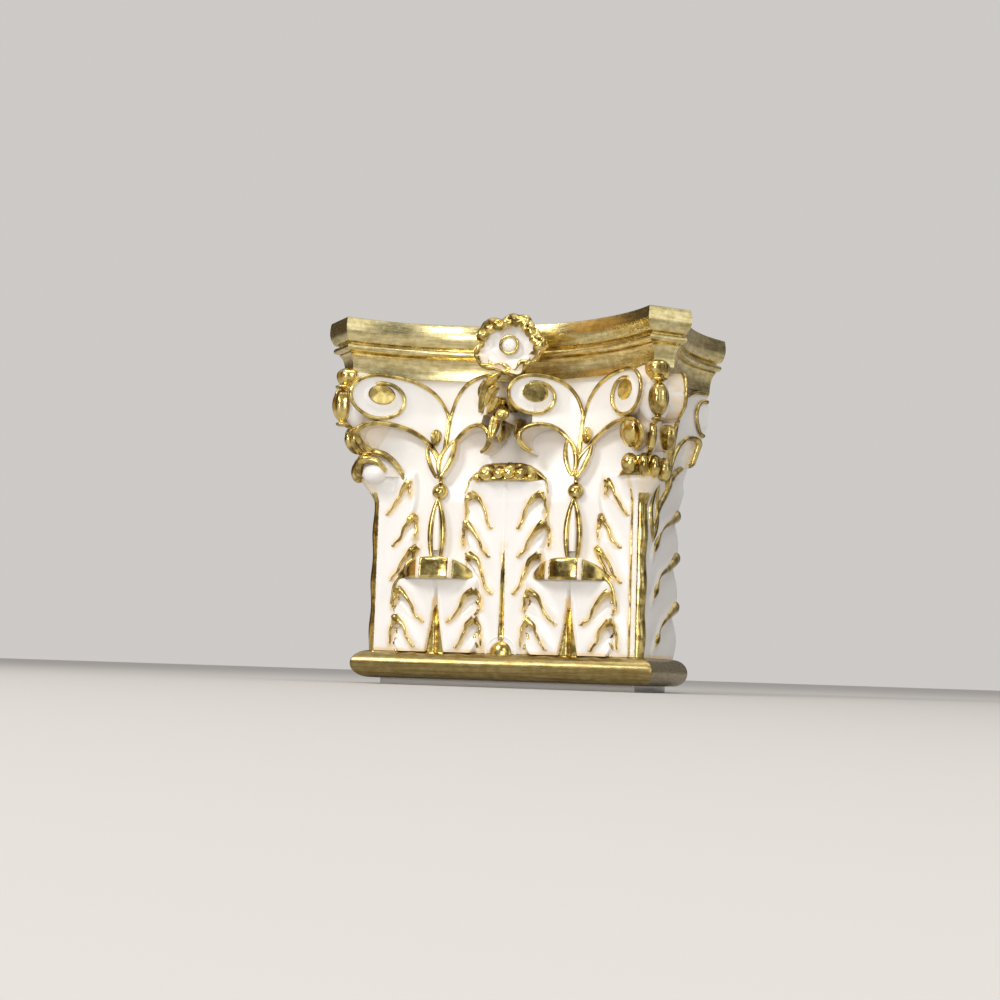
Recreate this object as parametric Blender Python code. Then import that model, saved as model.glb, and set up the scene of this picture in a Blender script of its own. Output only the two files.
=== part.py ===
"""Corinthian pilaster capital, cast in one piece with a flat back.

A neck fillet and an astragal carry a square bell, which turns into the hollow-sided plan of the
abacus above it.  On the bell stand two small leaves, a tall middle leaf and two leaves folded over
the corners, then stalks, scroll fans with volutes and helices, a rosette and a chain of beads at
each corner.  Lengths are in millimetres; x runs to the right, z up, and y from the face of the
astragal (y = 0) back to the wall.
"""
import math

import bmesh
import bpy
import numpy as np

MM = 0.001

# Depth from the face of the astragal to the wall, and the stock behind it that is trimmed off
DEPTH = 96.0
BACK_STOCK = 1.5

# Neck fillet under the astragal
NECK_HEIGHT = 4.0
NECK_SIDE_INSET = 15.0
NECK_FRONT_INSET = 16.0

# Astragal, a flattened roll
ASTRAGAL_WIDTH = 200.0
ASTRAGAL_HEIGHT = 17.4
ASTRAGAL_BULGE = 10.0
ASTRAGAL_STEPS = 6
ROLL_TURN = 0.47 * math.pi

# Bell, square below and hollow-sided at its lip
BELL_INSET = 11.3
BELL_RISE = 177.1
BELL_ARRIS = 1.2
BELL_LIP_INSET = 14.0
FLARE_START = 0.54
FLARE_END = 0.87
FLARE_CURVE = 1.2

# Abacus
ABACUS_HEIGHT = 35.5
ABACUS_CORNER = 99.5
ABACUS_OVERHANG = 27.0
ABACUS_CHAMFER = 22.5
FRONT_HOLLOW = 48.0
SIDE_HOLLOW = 12.0
BAND_HEIGHT = 15.0
BAND_BULGE = 4.0
GROOVE_INSET = 6.0
FILLET_HEIGHT = 5.6
FILLET_INSET = 4.6
FILLET_STEP = 1.0
COVE_INSET = 10.0
TOP_EASE = 1.0
EDGE_RISE = 0.4

# Faces closer in slope than this many degrees are merged into one flat
FLAT_ANGLE = 0.5

# Mesh fineness of the turned plan
FRONT_POINTS = 13
SIDE_POINTS = 6
FLARE_STEPS = 4

# Small leaves: places as shares of the bell's half width and rise
SMALL_LEAF_AT = 0.50
SMALL_LEAF_HALF = 0.33
SMALL_LEAF_LIP = 0.262
SMALL_LEAF_CREST = 0.335
SMALL_LEAF_RELIEF = 7.0
SMALL_LEAF_REACH = 15.0

# Tall middle leaf
TALL_LEAF_HALF = 0.31
TALL_LEAF_LIP = 0.612
TALL_LEAF_CREST = 0.688
TALL_LEAF_RELIEF = 5.0
TALL_LEAF_REACH = 17.0
TALL_HOOD_HALF = 0.25

# Corner leaves, folded over the arris
CORNER_LEAF_FRONT = 0.36
CORNER_LEAF_SIDE = 0.86
CORNER_LEAF_TOP = 0.62
CORNER_LEAF_RELIEF = 3.2
CORNER_LEAF_LOBES = 4
CORNER_TIP_LIP = 0.610
CORNER_TIP_CREST = 0.700
CORNER_TIP_HALF = 20.0
CORNER_TIP_REACH = 21.0
LEAF_SINK = 5.0
LOBE_DEPTH = 0.22
LOBE_RELIEF = 0.45

# Stalks, their beads and the root of the scroll fans
STALK_AT = 0.513
STALK_HALF_WIDTH = 5.6
STALK_OUT = 5.5
STALK_LOW = 0.345
STALK_HIGH = 0.545
BEAD_AT = 0.582
BEAD_RADIUS = 4.3
BEAD_OUT = 2.5
FAN_ROOT = 0.613
SIDE_FAN_AT = 0.505

# Scroll fans: plates that leave the bell towards their spirals, over an arch
FAN_SKIN = 3.0
FAN_STATIONS = 10
FAN_SINK = 9.0
ROOT_OVERLAP = 1.5
ARCH_TOP = 0.830
ARCH_ROUNDNESS = 2.6
SHOULDER_ROUNDNESS = 2.4
STEM_SHARE = 0.62
FAN_LIFT = 0.8
VOLUTE_BEND = 0.9
HELIX_BEND = 1.1
VOLUTE_EYE_HEIGHT = 0.917
HELIX_EYE_HEIGHT = 0.930
VOLUTE_EYE_AT = 0.70
VOLUTE_REACH_X = 14.0
VOLUTE_RADIUS_Z = 14.2
VOLUTE_RELIEF = 21.5
HELIX_EYE_AT = 0.655
HELIX_REACH_X = 13.5
HELIX_RADIUS_Z = 12.5
HELIX_RELIEF = 36.0
HELIX_GAP = 2.0
VOLUTE_CORNER_GAP = 3.0
SIDE_VOLUTE_RELIEF = 10.0
WALL_VOLUTE_RELIEF = 4.0
SIDE_VOLUTE_END = -3.0
RIM_RADIUS = 1.9
RIM_SINK = 1.5
EYE_RADIUS = 6.3
EYE_RISE = 2.0
EYE_SINK = 6.0
SPIRAL_TURNS = 1.2
SPIRAL_END = 0.50

# Rosette on the middle of the abacus
ROSETTE_HEIGHT_AT = 0.55
ROSETTE_RADIUS = 22.0
ROSETTE_RIPPLE = 0.10
ROSETTE_PETALS = 5
ROSETTE_FACE = 3.0
ROSETTE_DISH = 5.0
ROSETTE_BACK = 5.0
ROSETTE_STEM = 14.0
ROSETTE_SINK = 3.0
PETAL_CURL = 2.0
BUTTON_EASE = 1.0
BUTTON_RADIUS = 5.4
ROSETTE_POINTS = 25

# Chain of cup, bead and bulbs on each corner axis
CHAIN_SHARE = 0.3
CUP_AT = 0.982
CUP_OUT = 29.0
CUP_SIZE = (8.5, 8.0, 6.5)
CHAIN_BEAD_AT = 0.880
CHAIN_BEAD_OUT = 32.0
CHAIN_BEAD_SIZE = (6.5, 6.5, 10.5)
BULB_AT = 0.768
BULB_OUT = 13.5
BULB_SIZE = (6.0, 11.0, 7.5)
BULB_SPREAD = 11.0
BULB_SETBACK = 3.0
DROP_SIZE = (4.0, 9.0, 8.0)
WEB_FOOT = 0.72
WEB_HALF = 9.0

# Drop ornament between the helices
PENDANT_AT = 0.850
PENDANT_RADIUS = 4.2
PENDANT_OUT = 37.0
PENDANT_NECK_RADIUS = 3.5
SEPAL_AT = 0.800
SEPAL_OUT = 14.0
SEPAL_SIZE = (5.5, 22.0, 11.0)
SEPAL_SPREAD = 9.0

# Values worked out from the driving sizes
ASTRAGAL_HALF = ASTRAGAL_WIDTH / 2
BELL_HALF = ASTRAGAL_HALF - BELL_INSET
BELL_BASE = NECK_HEIGHT + ASTRAGAL_HEIGHT
SOFFIT = BELL_BASE + BELL_RISE
TOP = SOFFIT + ABACUS_HEIGHT
FRONT_RADIUS = (ABACUS_CORNER ** 2 + FRONT_HOLLOW ** 2) / (2 * FRONT_HOLLOW)
FRONT_CENTRE_Y = FRONT_HOLLOW - ABACUS_OVERHANG - FRONT_RADIUS
SIDE_X = ABACUS_CORNER + ABACUS_CHAMFER
SIDE_START = ABACUS_CHAMFER - ABACUS_OVERHANG
SIDE_HALF = (DEPTH - SIDE_START) / 2
SIDE_RADIUS = (SIDE_HALF ** 2 + SIDE_HOLLOW ** 2) / (2 * SIDE_HOLLOW)
SIDE_CENTRE = (SIDE_X + SIDE_RADIUS - SIDE_HOLLOW, SIDE_START + SIDE_HALF)
ORIGIN_Y = (DEPTH - ABACUS_OVERHANG) / 2


def height(share):
    """Height on the bell, from a share of its rise."""
    return BELL_BASE + share * BELL_RISE


def meet(point, direction, centre, radius):
    """Distance along a line at which it last meets a circle."""
    offset = np.subtract(point, centre)
    half = float(np.dot(offset, direction))
    return -half + math.sqrt(half ** 2 - float(np.dot(offset, offset)) + radius ** 2)


def abacus_corners(inset):
    """Front and side ends of the chamfer at an inset."""
    start = np.array([ABACUS_CORNER, -ABACUS_OVERHANG]) + inset * math.sqrt(0.5) * np.array([-1.0, 1.0])
    along = math.sqrt(0.5) * np.array([1.0, 1.0])
    front = start + along * meet(start, along, (0.0, FRONT_CENTRE_Y), FRONT_RADIUS + inset)
    back = start - along * meet(start, -along, SIDE_CENTRE, SIDE_RADIUS + inset)
    return front, back


def side_arc(y, inset):
    """Half width of the hollow side at depth y."""
    return SIDE_CENTRE[0] - np.sqrt((SIDE_RADIUS + inset) ** 2 - (y - SIDE_CENTRE[1]) ** 2)


def front_arc(x, inset):
    """Depth of the hollow front at x."""
    return FRONT_CENTRE_Y + np.sqrt((FRONT_RADIUS + inset) ** 2 - x ** 2)


def whole_loop(side, front):
    """Closed plan loop from its right side (wall to corner) and its front (right to left)."""
    left = side[::-1] * np.array([-1.0, 1.0])
    return np.vstack([side, front, left])


def hollow_loop(inset):
    """Plan of the abacus and of the bell's lip: hollow front and sides, chamfered corners."""
    front_end, side_end = abacus_corners(inset)
    depths = np.linspace(DEPTH + BACK_STOCK, side_end[1], SIDE_POINTS)
    side = np.column_stack([side_arc(depths, inset), depths])
    across = np.linspace(1, -1, FRONT_POINTS) * front_end[0]
    return whole_loop(side, np.column_stack([across, front_arc(across, inset)]))


def square_loop(side_inset, front_inset, arris=BELL_ARRIS):
    """Plan of the straight parts, measured in from the face of the astragal."""
    half = ASTRAGAL_HALF - side_inset
    depths = np.linspace(DEPTH + BACK_STOCK, front_inset + arris, SIDE_POINTS)
    side = np.column_stack([np.full(SIDE_POINTS, half), depths])
    across = np.linspace(1, -1, FRONT_POINTS) * (half - arris)
    return whole_loop(side, np.column_stack([across, np.full(FRONT_POINTS, front_inset)]))


def flare(z):
    """How far the bell has turned from its square foot (0) to its hollow lip (1)."""
    share = np.clip(((z - BELL_BASE) / BELL_RISE - FLARE_START) / (FLARE_END - FLARE_START), 0, 1)
    return share ** FLARE_CURVE


def bell_front(x, z):
    """Depth of the bell's front face."""
    return (1 - flare(z)) * BELL_INSET + flare(z) * front_arc(x, BELL_LIP_INSET)


def bell_side(y, z):
    """Half width of the bell's side face."""
    return (1 - flare(z)) * BELL_HALF + flare(z) * side_arc(y, BELL_LIP_INSET)


def level(loop, z):
    """A plan loop raised to height z."""
    return np.column_stack([loop, np.full(len(loop), z)])


def loft_mesh(name, rings, place=None):
    """Closed body through rings of equal length, with flat ends."""
    points = np.vstack(rings)
    count = len(rings[0])
    if place is not None:
        points = place(points)
    body = bmesh.new()
    corners = [body.verts.new(tuple(point * MM)) for point in points]
    for row in range(len(rings) - 1):
        for column in range(count):
            here = row * count + column
            beside = row * count + (column + 1) % count
            body.faces.new([corners[i] for i in (here, beside, beside + count, here + count)])
    body.faces.new(corners[:count])
    body.faces.new(corners[-count:])
    bmesh.ops.triangulate(body, faces=[face for face in body.faces if len(face.verts) == 4])
    bmesh.ops.recalc_face_normals(body, faces=body.faces)
    mesh = bpy.data.meshes.new(name)
    body.to_mesh(mesh)
    body.free()
    return mesh


def body_rings():
    """Rings of the whole moulded body, from the underside to the top."""
    neck = square_loop(NECK_SIDE_INSET, NECK_FRONT_INSET)
    rings = [level(neck, 0.0), level(neck, NECK_HEIGHT)]
    half_roll = ASTRAGAL_HEIGHT / 2
    for turn in np.linspace(-ROLL_TURN, ROLL_TURN, ASTRAGAL_STEPS + 1):
        inset = ASTRAGAL_BULGE * (1 - math.cos(turn))
        rings.append(level(square_loop(inset, inset), NECK_HEIGHT + half_roll * (1 + math.sin(turn))))
    square = square_loop(BELL_INSET, BELL_INSET)
    lip = hollow_loop(BELL_LIP_INSET)
    turning = np.linspace(FLARE_START, FLARE_END, FLARE_STEPS + 1)
    for share in (0.0, *turning, 1.0):
        z = height(share)
        turned = float(flare(z))
        rings.append(level((1 - turned) * square + turned * lip, z))
    return rings + abacus_rings()


def abacus_rings():
    """Rings of the abacus: cove, fillet, groove and a slightly round band."""
    fillet_foot = TOP - BAND_HEIGHT - FILLET_STEP - FILLET_HEIGHT
    cove = fillet_foot - SOFFIT
    rings = []
    for turn in np.linspace(0.0, 0.5 * math.pi, 4):
        inset = COVE_INSET - (COVE_INSET - FILLET_INSET - FILLET_STEP) * (1 - math.cos(turn))
        rings.append(level(hollow_loop(inset), SOFFIT + EDGE_RISE + (cove - EDGE_RISE) * math.sin(turn)))
    rings.append(level(hollow_loop(FILLET_INSET), fillet_foot + EDGE_RISE))
    rings.append(level(hollow_loop(FILLET_INSET), fillet_foot + FILLET_HEIGHT))
    rings.append(level(hollow_loop(GROOVE_INSET), fillet_foot + FILLET_HEIGHT + 1.5 * EDGE_RISE))
    for share in (0.0, 0.3, 0.65, 1.0):
        inset = BAND_BULGE * (1 - share) ** 2
        rings.append(level(hollow_loop(inset), TOP - BAND_HEIGHT + share * (BAND_HEIGHT - TOP_EASE)))
    rings.append(level(hollow_loop(TOP_EASE), TOP))
    return rings


def front_place(points):
    """Points given as (x, out from the bell, z) set on the front face."""
    x, out, z = points.T
    return np.column_stack([x, bell_front(x, z) - out, z])


def side_place(points):
    """Points given as (depth y, out from the bell, z) set on the right side face."""
    y, out, z = points.T
    return np.column_stack([bell_side(y, z) + out, y, z])


def corner_frame():
    """Arris of the bell, the corner axis towards the abacus corner, and the line across it."""
    front_end, side_end = abacus_corners(0.0)
    arris = np.array([BELL_HALF, BELL_INSET])
    axis = (1 - CHAIN_SHARE) * front_end + CHAIN_SHARE * side_end - arris
    axis = axis / np.linalg.norm(axis)
    return arris, axis, np.array([-axis[1], axis[0]])


def corner_place(points):
    """Points given as (across the corner axis, out along it, z) set at the right front corner."""
    arris, axis, across = corner_frame()
    plan = arris + points[:, 1:2] * axis + points[:, :1] * across
    return np.column_stack([plan, points[:, 2]])


def lobed(share, lobes, depth):
    """Half width of a leaf with rounded lobes, as a share of its full half width."""
    return 1 - depth * (1 - np.abs(np.sin(math.pi * lobes * share)) ** 0.7)


def leaf_rings(centre, half, foot, top, relief, lobes, waist):
    """Rings of a leaf standing on the front face, thick at its midrib and thin at its lobes."""
    rings = []
    for share in np.linspace(0.02, 0.98, 3 * lobes + 1):
        wide = half * lobed(share, lobes, LOBE_DEPTH) * (1 - waist * (1 - share) ** 2)
        swell = lobed(share, lobes, LOBE_RELIEF)
        across = np.array([-1.0, -0.62, -0.1, 0.1, 0.62, 1.0])
        out = relief * np.array([0.25, swell, 0.8, 0.8, swell, 0.25])
        z = np.full(6, foot + share * (top - foot))
        face = np.column_stack([centre + across * wide, out, z])
        back = np.array([[centre + wide, -LEAF_SINK, z[0]], [centre - wide, -LEAF_SINK, z[0]]])
        rings.append(np.vstack([face, back]))
    return rings


def hood_rings(centre, half, lip, crest, reach, back_half=1.0, sink=LEAF_SINK):
    """Rings of an overturned leaf tip: half of a flattened dome over a flat underside."""
    rings = []
    for size, rise in ((0.92, 0.0), (1.0, 0.14), (0.96, 0.4), (0.8, 0.68), (0.5, 0.9), (0.16, 1.0)):
        turn = np.linspace(-0.5 * math.pi, 0.5 * math.pi, 9)
        x = centre + half * size * np.sin(turn)
        out = reach * size * np.cos(turn) ** 0.8
        z = np.full(9, lip + (crest - lip) * rise)
        face = np.column_stack([x, out, z])
        back_x = centre + np.array([1.0, -1.0]) * half * size * back_half
        rings.append(np.vstack([face, np.column_stack([back_x, np.full(2, -sink), z[:2]])]))
    return rings


def corner_leaf_rings():
    """Rings of a leaf folded over the right arris, lobed on the front and on the side."""
    rings = []
    foot = BELL_BASE
    top = height(CORNER_LEAF_TOP)
    front_reach = CORNER_LEAF_FRONT * BELL_HALF
    side_reach = CORNER_LEAF_SIDE * (DEPTH - BELL_INSET)
    for share in np.linspace(0.02, 1.0, 13):
        front = front_reach * lobed(share, CORNER_LEAF_LOBES, LOBE_DEPTH) * (1 - 0.25 * share ** 3)
        side = side_reach * lobed(share, CORNER_LEAF_LOBES, 0.6 * LOBE_DEPTH) * (1 - 0.35 * share ** 3)
        out = CORNER_LEAF_RELIEF
        x = BELL_HALF
        y = BELL_INSET
        loop = np.array([
            [x - front, y + LEAF_SINK], [x - front, y - 0.3 * out], [x - 0.6 * front, y - 1.5 * out],
            [x - 3.0, y - 0.7 * out], [x + 0.6 * out, y - 0.6 * out], [x + 0.7 * out, y + 3.0],
            [x + 1.5 * out, y + 0.6 * side], [x + 0.3 * out, y + side], [x - LEAF_SINK, y + side],
            [x - LEAF_SINK, y + LEAF_SINK]])
        rings.append(level(loop, foot + share * (top - foot)))
    return rings


def ellipsoid_rings(centre, size, segments=7, levels=5):
    """Rings of an ellipsoid about a vertical axis."""
    rings = []
    for turn in np.linspace(-0.42 * math.pi, 0.42 * math.pi, levels):
        around = np.linspace(0, 2 * math.pi, segments, endpoint=False)
        ring = np.column_stack([
            centre[0] + size[0] * math.cos(turn) * np.cos(around),
            centre[1] + size[1] * math.cos(turn) * np.sin(around),
            np.full(segments, centre[2] + size[2] * math.sin(turn))])
        rings.append(ring)
    return rings


def tube_rings(path, radius):
    """Rings of a three-sided bead along a path of (along the face, out, z) points."""
    ahead = np.gradient(path, axis=0)
    ahead = ahead / np.linalg.norm(ahead, axis=1)[:, None]
    outward = np.array([0.0, 1.0, 0.0])
    beside = np.cross(ahead, outward)
    beside = beside / np.linalg.norm(beside, axis=1)[:, None]
    rings = []
    for point, across in zip(path, beside):
        foot = point - RIM_SINK * outward
        half = 1.3 * radius * across
        rings.append(np.array([foot + half, point + radius * outward, foot - half]))
    return rings


class Fan:
    """A scroll fan: a plate that leaves the bell towards its spiral, over an arched lower edge.

    root and tip are the places of its two ends along the face; relief is how far the spiral's
    outer end stands off the bell, and bend the power with which it gets there.
    """

    def __init__(self, root, tip, eye_share, eye_height, reach, radius_z, relief, bend):
        self.root = root
        self.tip = tip
        self.sign = 1.0 if tip > root else -1.0
        self.length = abs(tip - root)
        self.eye_u = eye_share * self.length
        self.eye_z = height(eye_height)
        self.reach = min(reach, self.length - self.eye_u)
        self.radius_z = radius_z
        self.relief = relief
        self.bend = bend
        self.low = height(FAN_ROOT)
        self.arch = height(ARCH_TOP)

    def out(self, u, z):
        """Distance of the plate's face from the bell, at u from the root."""
        lift = np.clip((z - self.low) / (self.arch - self.low), 0, 1) ** FAN_LIFT
        share = np.clip(u / self.length, 0, 1)
        return FAN_SKIN + self.relief * share ** self.bend * lift

    def points(self, u, z, rise):
        """Points on the plate's face as (along, out, z), raised by rise."""
        return np.column_stack([self.root + self.sign * u, self.out(u, z) + rise, z])

    def top_edge(self, u):
        """Upper edge: a rounded shoulder from the stem, then the spiral's outer turn."""
        stem = self.low + STEM_SHARE * (self.eye_z - self.low)
        crown = self.eye_z + self.radius_z
        if u <= self.eye_u:
            share = 1 - u / self.eye_u
            return stem + (crown - stem) * (1 - share ** SHOULDER_ROUNDNESS) ** (1 / SHOULDER_ROUNDNESS)
        return self.eye_z + self.radius_z * math.sqrt(max(0.0, 1 - ((u - self.eye_u) / self.reach) ** 2))

    def low_edge(self, u):
        """Lower edge: the arch, then the spiral's outer turn."""
        if u <= self.eye_u:
            share = 1 - u / self.eye_u
            rise = (1 - share ** ARCH_ROUNDNESS) ** (1 / ARCH_ROUNDNESS)
            return self.low + (self.arch - self.low) * rise
        return self.eye_z - self.radius_z * math.sqrt(max(0.0, 1 - ((u - self.eye_u) / self.reach) ** 2))

    def plate(self):
        """Rings of the plate, from its root to its outer end."""
        rings = []
        turns = np.linspace(0.0, 0.5 * math.pi, FAN_STATIONS // 2)
        near = self.eye_u * (1 - np.cos(turns))
        far = self.eye_u + self.reach * np.sin(turns[1:]) * 0.99
        for u in np.concatenate([near, far]):
            z = np.array([self.low_edge(u) - 0.5, self.top_edge(max(u, ROOT_OVERLAP))])
            start = u if u > 0 else -ROOT_OVERLAP
            face = self.points(np.array([start, start]), z, 0.0)
            back = face[::-1].copy()
            back[:, 1] = -FAN_SINK
            rings.append(np.vstack([face, back]))
        return rings

    def spiral(self):
        """Path of the rim: up the shoulder and round into the eye."""
        rise_u = self.eye_u * (1 - np.cos(np.linspace(0.14, 0.44, 4) * math.pi))
        rise_z = np.array([self.top_edge(u) for u in rise_u])
        turn = np.linspace(0.0, 2 * math.pi * SPIRAL_TURNS, 17)
        size = 1 - (1 - SPIRAL_END) * (turn / turn[-1]) ** 0.9
        turn_u = self.eye_u + self.reach * size * np.sin(turn)
        turn_z = self.eye_z + self.radius_z * size * np.cos(turn)
        u = np.concatenate([[0.6], rise_u, turn_u])
        z = np.concatenate([[self.low + 4.0], rise_z, turn_z])
        return self.points(u, z, 0.4 * RIM_RADIUS)

    def arch_path(self):
        """Path of the rim along the arched lower edge, past the eye."""
        near = self.eye_u * (1 - np.cos(np.linspace(0.0, 0.5, 7) * math.pi))
        z = np.array([self.low_edge(u) for u in near])
        far = np.linspace(self.eye_u, self.length, 4)[1:]
        drop = self.arch - 0.35 * self.radius_z * ((far - self.eye_u) / (self.length - self.eye_u)) ** 2
        return self.points(np.concatenate([near, far]), np.concatenate([z, drop]), 0.0)

    def eye(self):
        """Rings of the round eye of the spiral."""
        rings = []
        for size, rise in ((1.0, -EYE_SINK), (1.0, 0.5 * EYE_RISE), (0.75, EYE_RISE)):
            turn = np.linspace(0, 2 * math.pi, 10, endpoint=False)
            u = self.eye_u + size * EYE_RADIUS * self.reach / self.radius_z * np.cos(turn)
            z = self.eye_z + size * EYE_RADIUS * np.sin(turn)
            ring = self.points(u, z, rise)
            rings.append(ring)
        return rings

    def bodies(self):
        """All bodies of the fan, as rings on its face."""
        return {
            "plate": self.plate(),
            "rim": tube_rings(self.spiral(), RIM_RADIUS),
            "arch": tube_rings(self.arch_path(), 1.3 * RIM_RADIUS),
            "eye": self.eye()}


def rosette_rings():
    """Rings of the rosette, from its stem in the abacus out to the button."""
    middle = SOFFIT + ROSETTE_HEIGHT_AT * ABACUS_HEIGHT
    back = float(front_arc(0.0, COVE_INSET)) + ROSETTE_SINK
    rim = ROSETTE_RADIUS
    profile = [
        (0.42 * rim, back), (0.50 * rim, ROSETTE_FACE + ROSETTE_STEM),
        (0.92 * rim, ROSETTE_FACE + ROSETTE_BACK), (rim, ROSETTE_FACE),
        (0.86 * rim, ROSETTE_FACE - PETAL_CURL), (0.55 * rim, ROSETTE_FACE + ROSETTE_DISH),
        (BUTTON_RADIUS, ROSETTE_FACE + ROSETTE_DISH), (BUTTON_RADIUS, ROSETTE_FACE + BUTTON_EASE),
        (0.6 * BUTTON_RADIUS, ROSETTE_FACE - BUTTON_EASE)]
    turn = np.linspace(0, 2 * math.pi, ROSETTE_POINTS, endpoint=False)
    rings = []
    for radius, y in profile:
        ripple = ROSETTE_RIPPLE if radius > 0.6 * rim else 0.0
        size = radius * (1 + ripple * np.cos(ROSETTE_PETALS * turn))
        rings.append(np.column_stack([
            1.08 * size * np.cos(turn), np.full(ROSETTE_POINTS, y), middle + 0.9 * size * np.sin(turn)]))
    return rings


def as_given(points):
    """Points that are already in the capital's own frame."""
    return points


def on_both_sides(name, rings, place):
    """The same body on the right and, reflected, on the left."""
    reflection = np.array([-1.0, 1.0, 1.0])
    return [
        loft_mesh(name + "_right", rings, place),
        loft_mesh(name + "_left", rings, lambda points: place(points) * reflection)]


def leaf_meshes():
    """All the leaves and their overturned tips."""
    meshes = []
    lip = height(SMALL_LEAF_LIP)
    centre = SMALL_LEAF_AT * BELL_HALF
    half = SMALL_LEAF_HALF * BELL_HALF
    small = leaf_rings(centre, half, BELL_BASE, lip + 2.0, SMALL_LEAF_RELIEF, 3, 0.05)
    meshes += on_both_sides("small_leaf", small, front_place)
    hood = hood_rings(centre, 0.92 * half, lip, height(SMALL_LEAF_CREST), SMALL_LEAF_REACH)
    meshes += on_both_sides("small_hood", hood, front_place)
    lip = height(TALL_LEAF_LIP)
    half = TALL_LEAF_HALF * BELL_HALF
    tall = leaf_rings(0.0, half, BELL_BASE, lip + 2.0, TALL_LEAF_RELIEF, 5, 0.35)
    meshes.append(loft_mesh("tall_leaf", tall, front_place))
    hood = hood_rings(0.0, TALL_HOOD_HALF * BELL_HALF, lip, height(TALL_LEAF_CREST), TALL_LEAF_REACH)
    meshes.append(loft_mesh("tall_hood", hood, front_place))
    meshes += on_both_sides("corner_leaf", corner_leaf_rings(), as_given)
    tip = hood_rings(0.0, CORNER_TIP_HALF, height(CORNER_TIP_LIP), height(CORNER_TIP_CREST), CORNER_TIP_REACH,
                     0.2, CORNER_TIP_HALF)
    meshes += on_both_sides("corner_tip", tip, corner_place)
    return meshes


def stalk_meshes():
    """The stalks between the leaves and the beads on them."""
    meshes = []
    centre = STALK_AT * BELL_HALF
    low = height(STALK_LOW)
    high = height(STALK_HIGH)
    bud = ellipsoid_rings((centre, 0.0, (low + high) / 2), (STALK_HALF_WIDTH, STALK_OUT, (high - low) / 2))
    meshes += on_both_sides("stalk", bud, front_place)
    bead = ellipsoid_rings((centre, BEAD_OUT, height(BEAD_AT)), (BEAD_RADIUS,) * 3)
    meshes += on_both_sides("bead", bead, front_place)
    return meshes


def fan_meshes():
    """Volute and helix fans on the front, and the volute fans on the sides."""
    root = STALK_AT * BELL_HALF
    volute = (VOLUTE_EYE_AT, VOLUTE_EYE_HEIGHT, VOLUTE_REACH_X, VOLUTE_RADIUS_Z)
    helix = (HELIX_EYE_AT, HELIX_EYE_HEIGHT, HELIX_REACH_X, HELIX_RADIUS_Z)
    front = {
        "volute": Fan(root, ABACUS_CORNER - VOLUTE_CORNER_GAP, *volute, VOLUTE_RELIEF, VOLUTE_BEND),
        "helix": Fan(root, HELIX_GAP, *helix, HELIX_RELIEF, HELIX_BEND)}
    middle = BELL_INSET + SIDE_FAN_AT * (DEPTH - BELL_INSET)
    span = middle - SIDE_VOLUTE_END
    side = {
        "side_volute": Fan(middle, middle - span, *volute, SIDE_VOLUTE_RELIEF, VOLUTE_BEND),
        "wall_volute": Fan(middle, middle + span, *volute, WALL_VOLUTE_RELIEF, VOLUTE_BEND)}
    meshes = []
    for fans, place in ((front, front_place), (side, side_place)):
        for fan_name, fan in fans.items():
            for body_name, rings in fan.bodies().items():
                if (fan_name, body_name) != ("wall_volute", "eye"):
                    meshes += on_both_sides(fan_name + "_" + body_name, rings, place)
    return meshes


def web_rings():
    """Rings of the upright web on the corner axis, which carries the chain."""
    foot = height(WEB_FOOT)
    rings = []
    for rise, wide, out in ((0.0, 0.4, 0.2), (0.25, 0.8, 0.62), (0.5, 1.0, 0.85), (1.0, 1.0, 0.95)):
        half = wide * WEB_HALF
        reach = out * CHAIN_BEAD_OUT
        z = foot + rise * (SOFFIT + 0.7 - foot)
        plan = np.array([
            [-0.3 * half, -WEB_HALF], [0.3 * half, -WEB_HALF], [half, 0.7 * reach],
            [0.45 * half, reach], [-0.45 * half, reach], [-half, 0.7 * reach]])
        rings.append(level(plan, z))
    return rings


def chain_meshes():
    """Cup, long bead and bulbs hanging under each corner of the abacus, and their web."""
    parts = {
        "cup": ((0.0, CUP_OUT, height(CUP_AT)), CUP_SIZE),
        "chain_bead": ((0.0, CHAIN_BEAD_OUT, height(CHAIN_BEAD_AT)), CHAIN_BEAD_SIZE),
        "drop": ((0.0, BULB_OUT - BULB_SETBACK, height(BULB_AT)), DROP_SIZE),
        "front_bulb": ((-BULB_SPREAD, BULB_OUT, height(BULB_AT)), BULB_SIZE),
        "side_bulb": ((BULB_SPREAD, BULB_OUT - BULB_SETBACK, height(BULB_AT)), BULB_SIZE)}
    meshes = on_both_sides("web", web_rings(), corner_place)
    for name, (centre, size) in parts.items():
        meshes += on_both_sides(name, ellipsoid_rings(centre, size), corner_place)
    return meshes


def pendant_meshes():
    """Bead and sepals between the helices, under the rosette."""
    bead = ellipsoid_rings((0.0, PENDANT_OUT, height(PENDANT_AT)), (PENDANT_RADIUS,) * 3)
    half_neck = PENDANT_OUT / 2 + 1.0
    neck_size = (PENDANT_NECK_RADIUS, half_neck, PENDANT_NECK_RADIUS)
    neck = ellipsoid_rings((0.0, half_neck - 2.0, height(PENDANT_AT)), neck_size)
    sepal = ellipsoid_rings((SEPAL_SPREAD, SEPAL_OUT, height(SEPAL_AT)), SEPAL_SIZE)
    meshes = [loft_mesh("pendant", bead, front_place), loft_mesh("pendant_neck", neck, front_place)]
    return meshes + on_both_sides("sepal", sepal, front_place)


def enamel():
    """Warm white gloss enamel, the main finish of the casting."""
    material = bpy.data.materials.new("white_enamel")
    material.use_nodes = True
    shader = material.node_tree.nodes["Principled BSDF"]
    shader.inputs["Base Color"].default_value = (0.86, 0.83, 0.79, 1.0)
    shader.inputs["Roughness"].default_value = 0.25
    shader.inputs["Metallic"].default_value = 0.0
    return material


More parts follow.
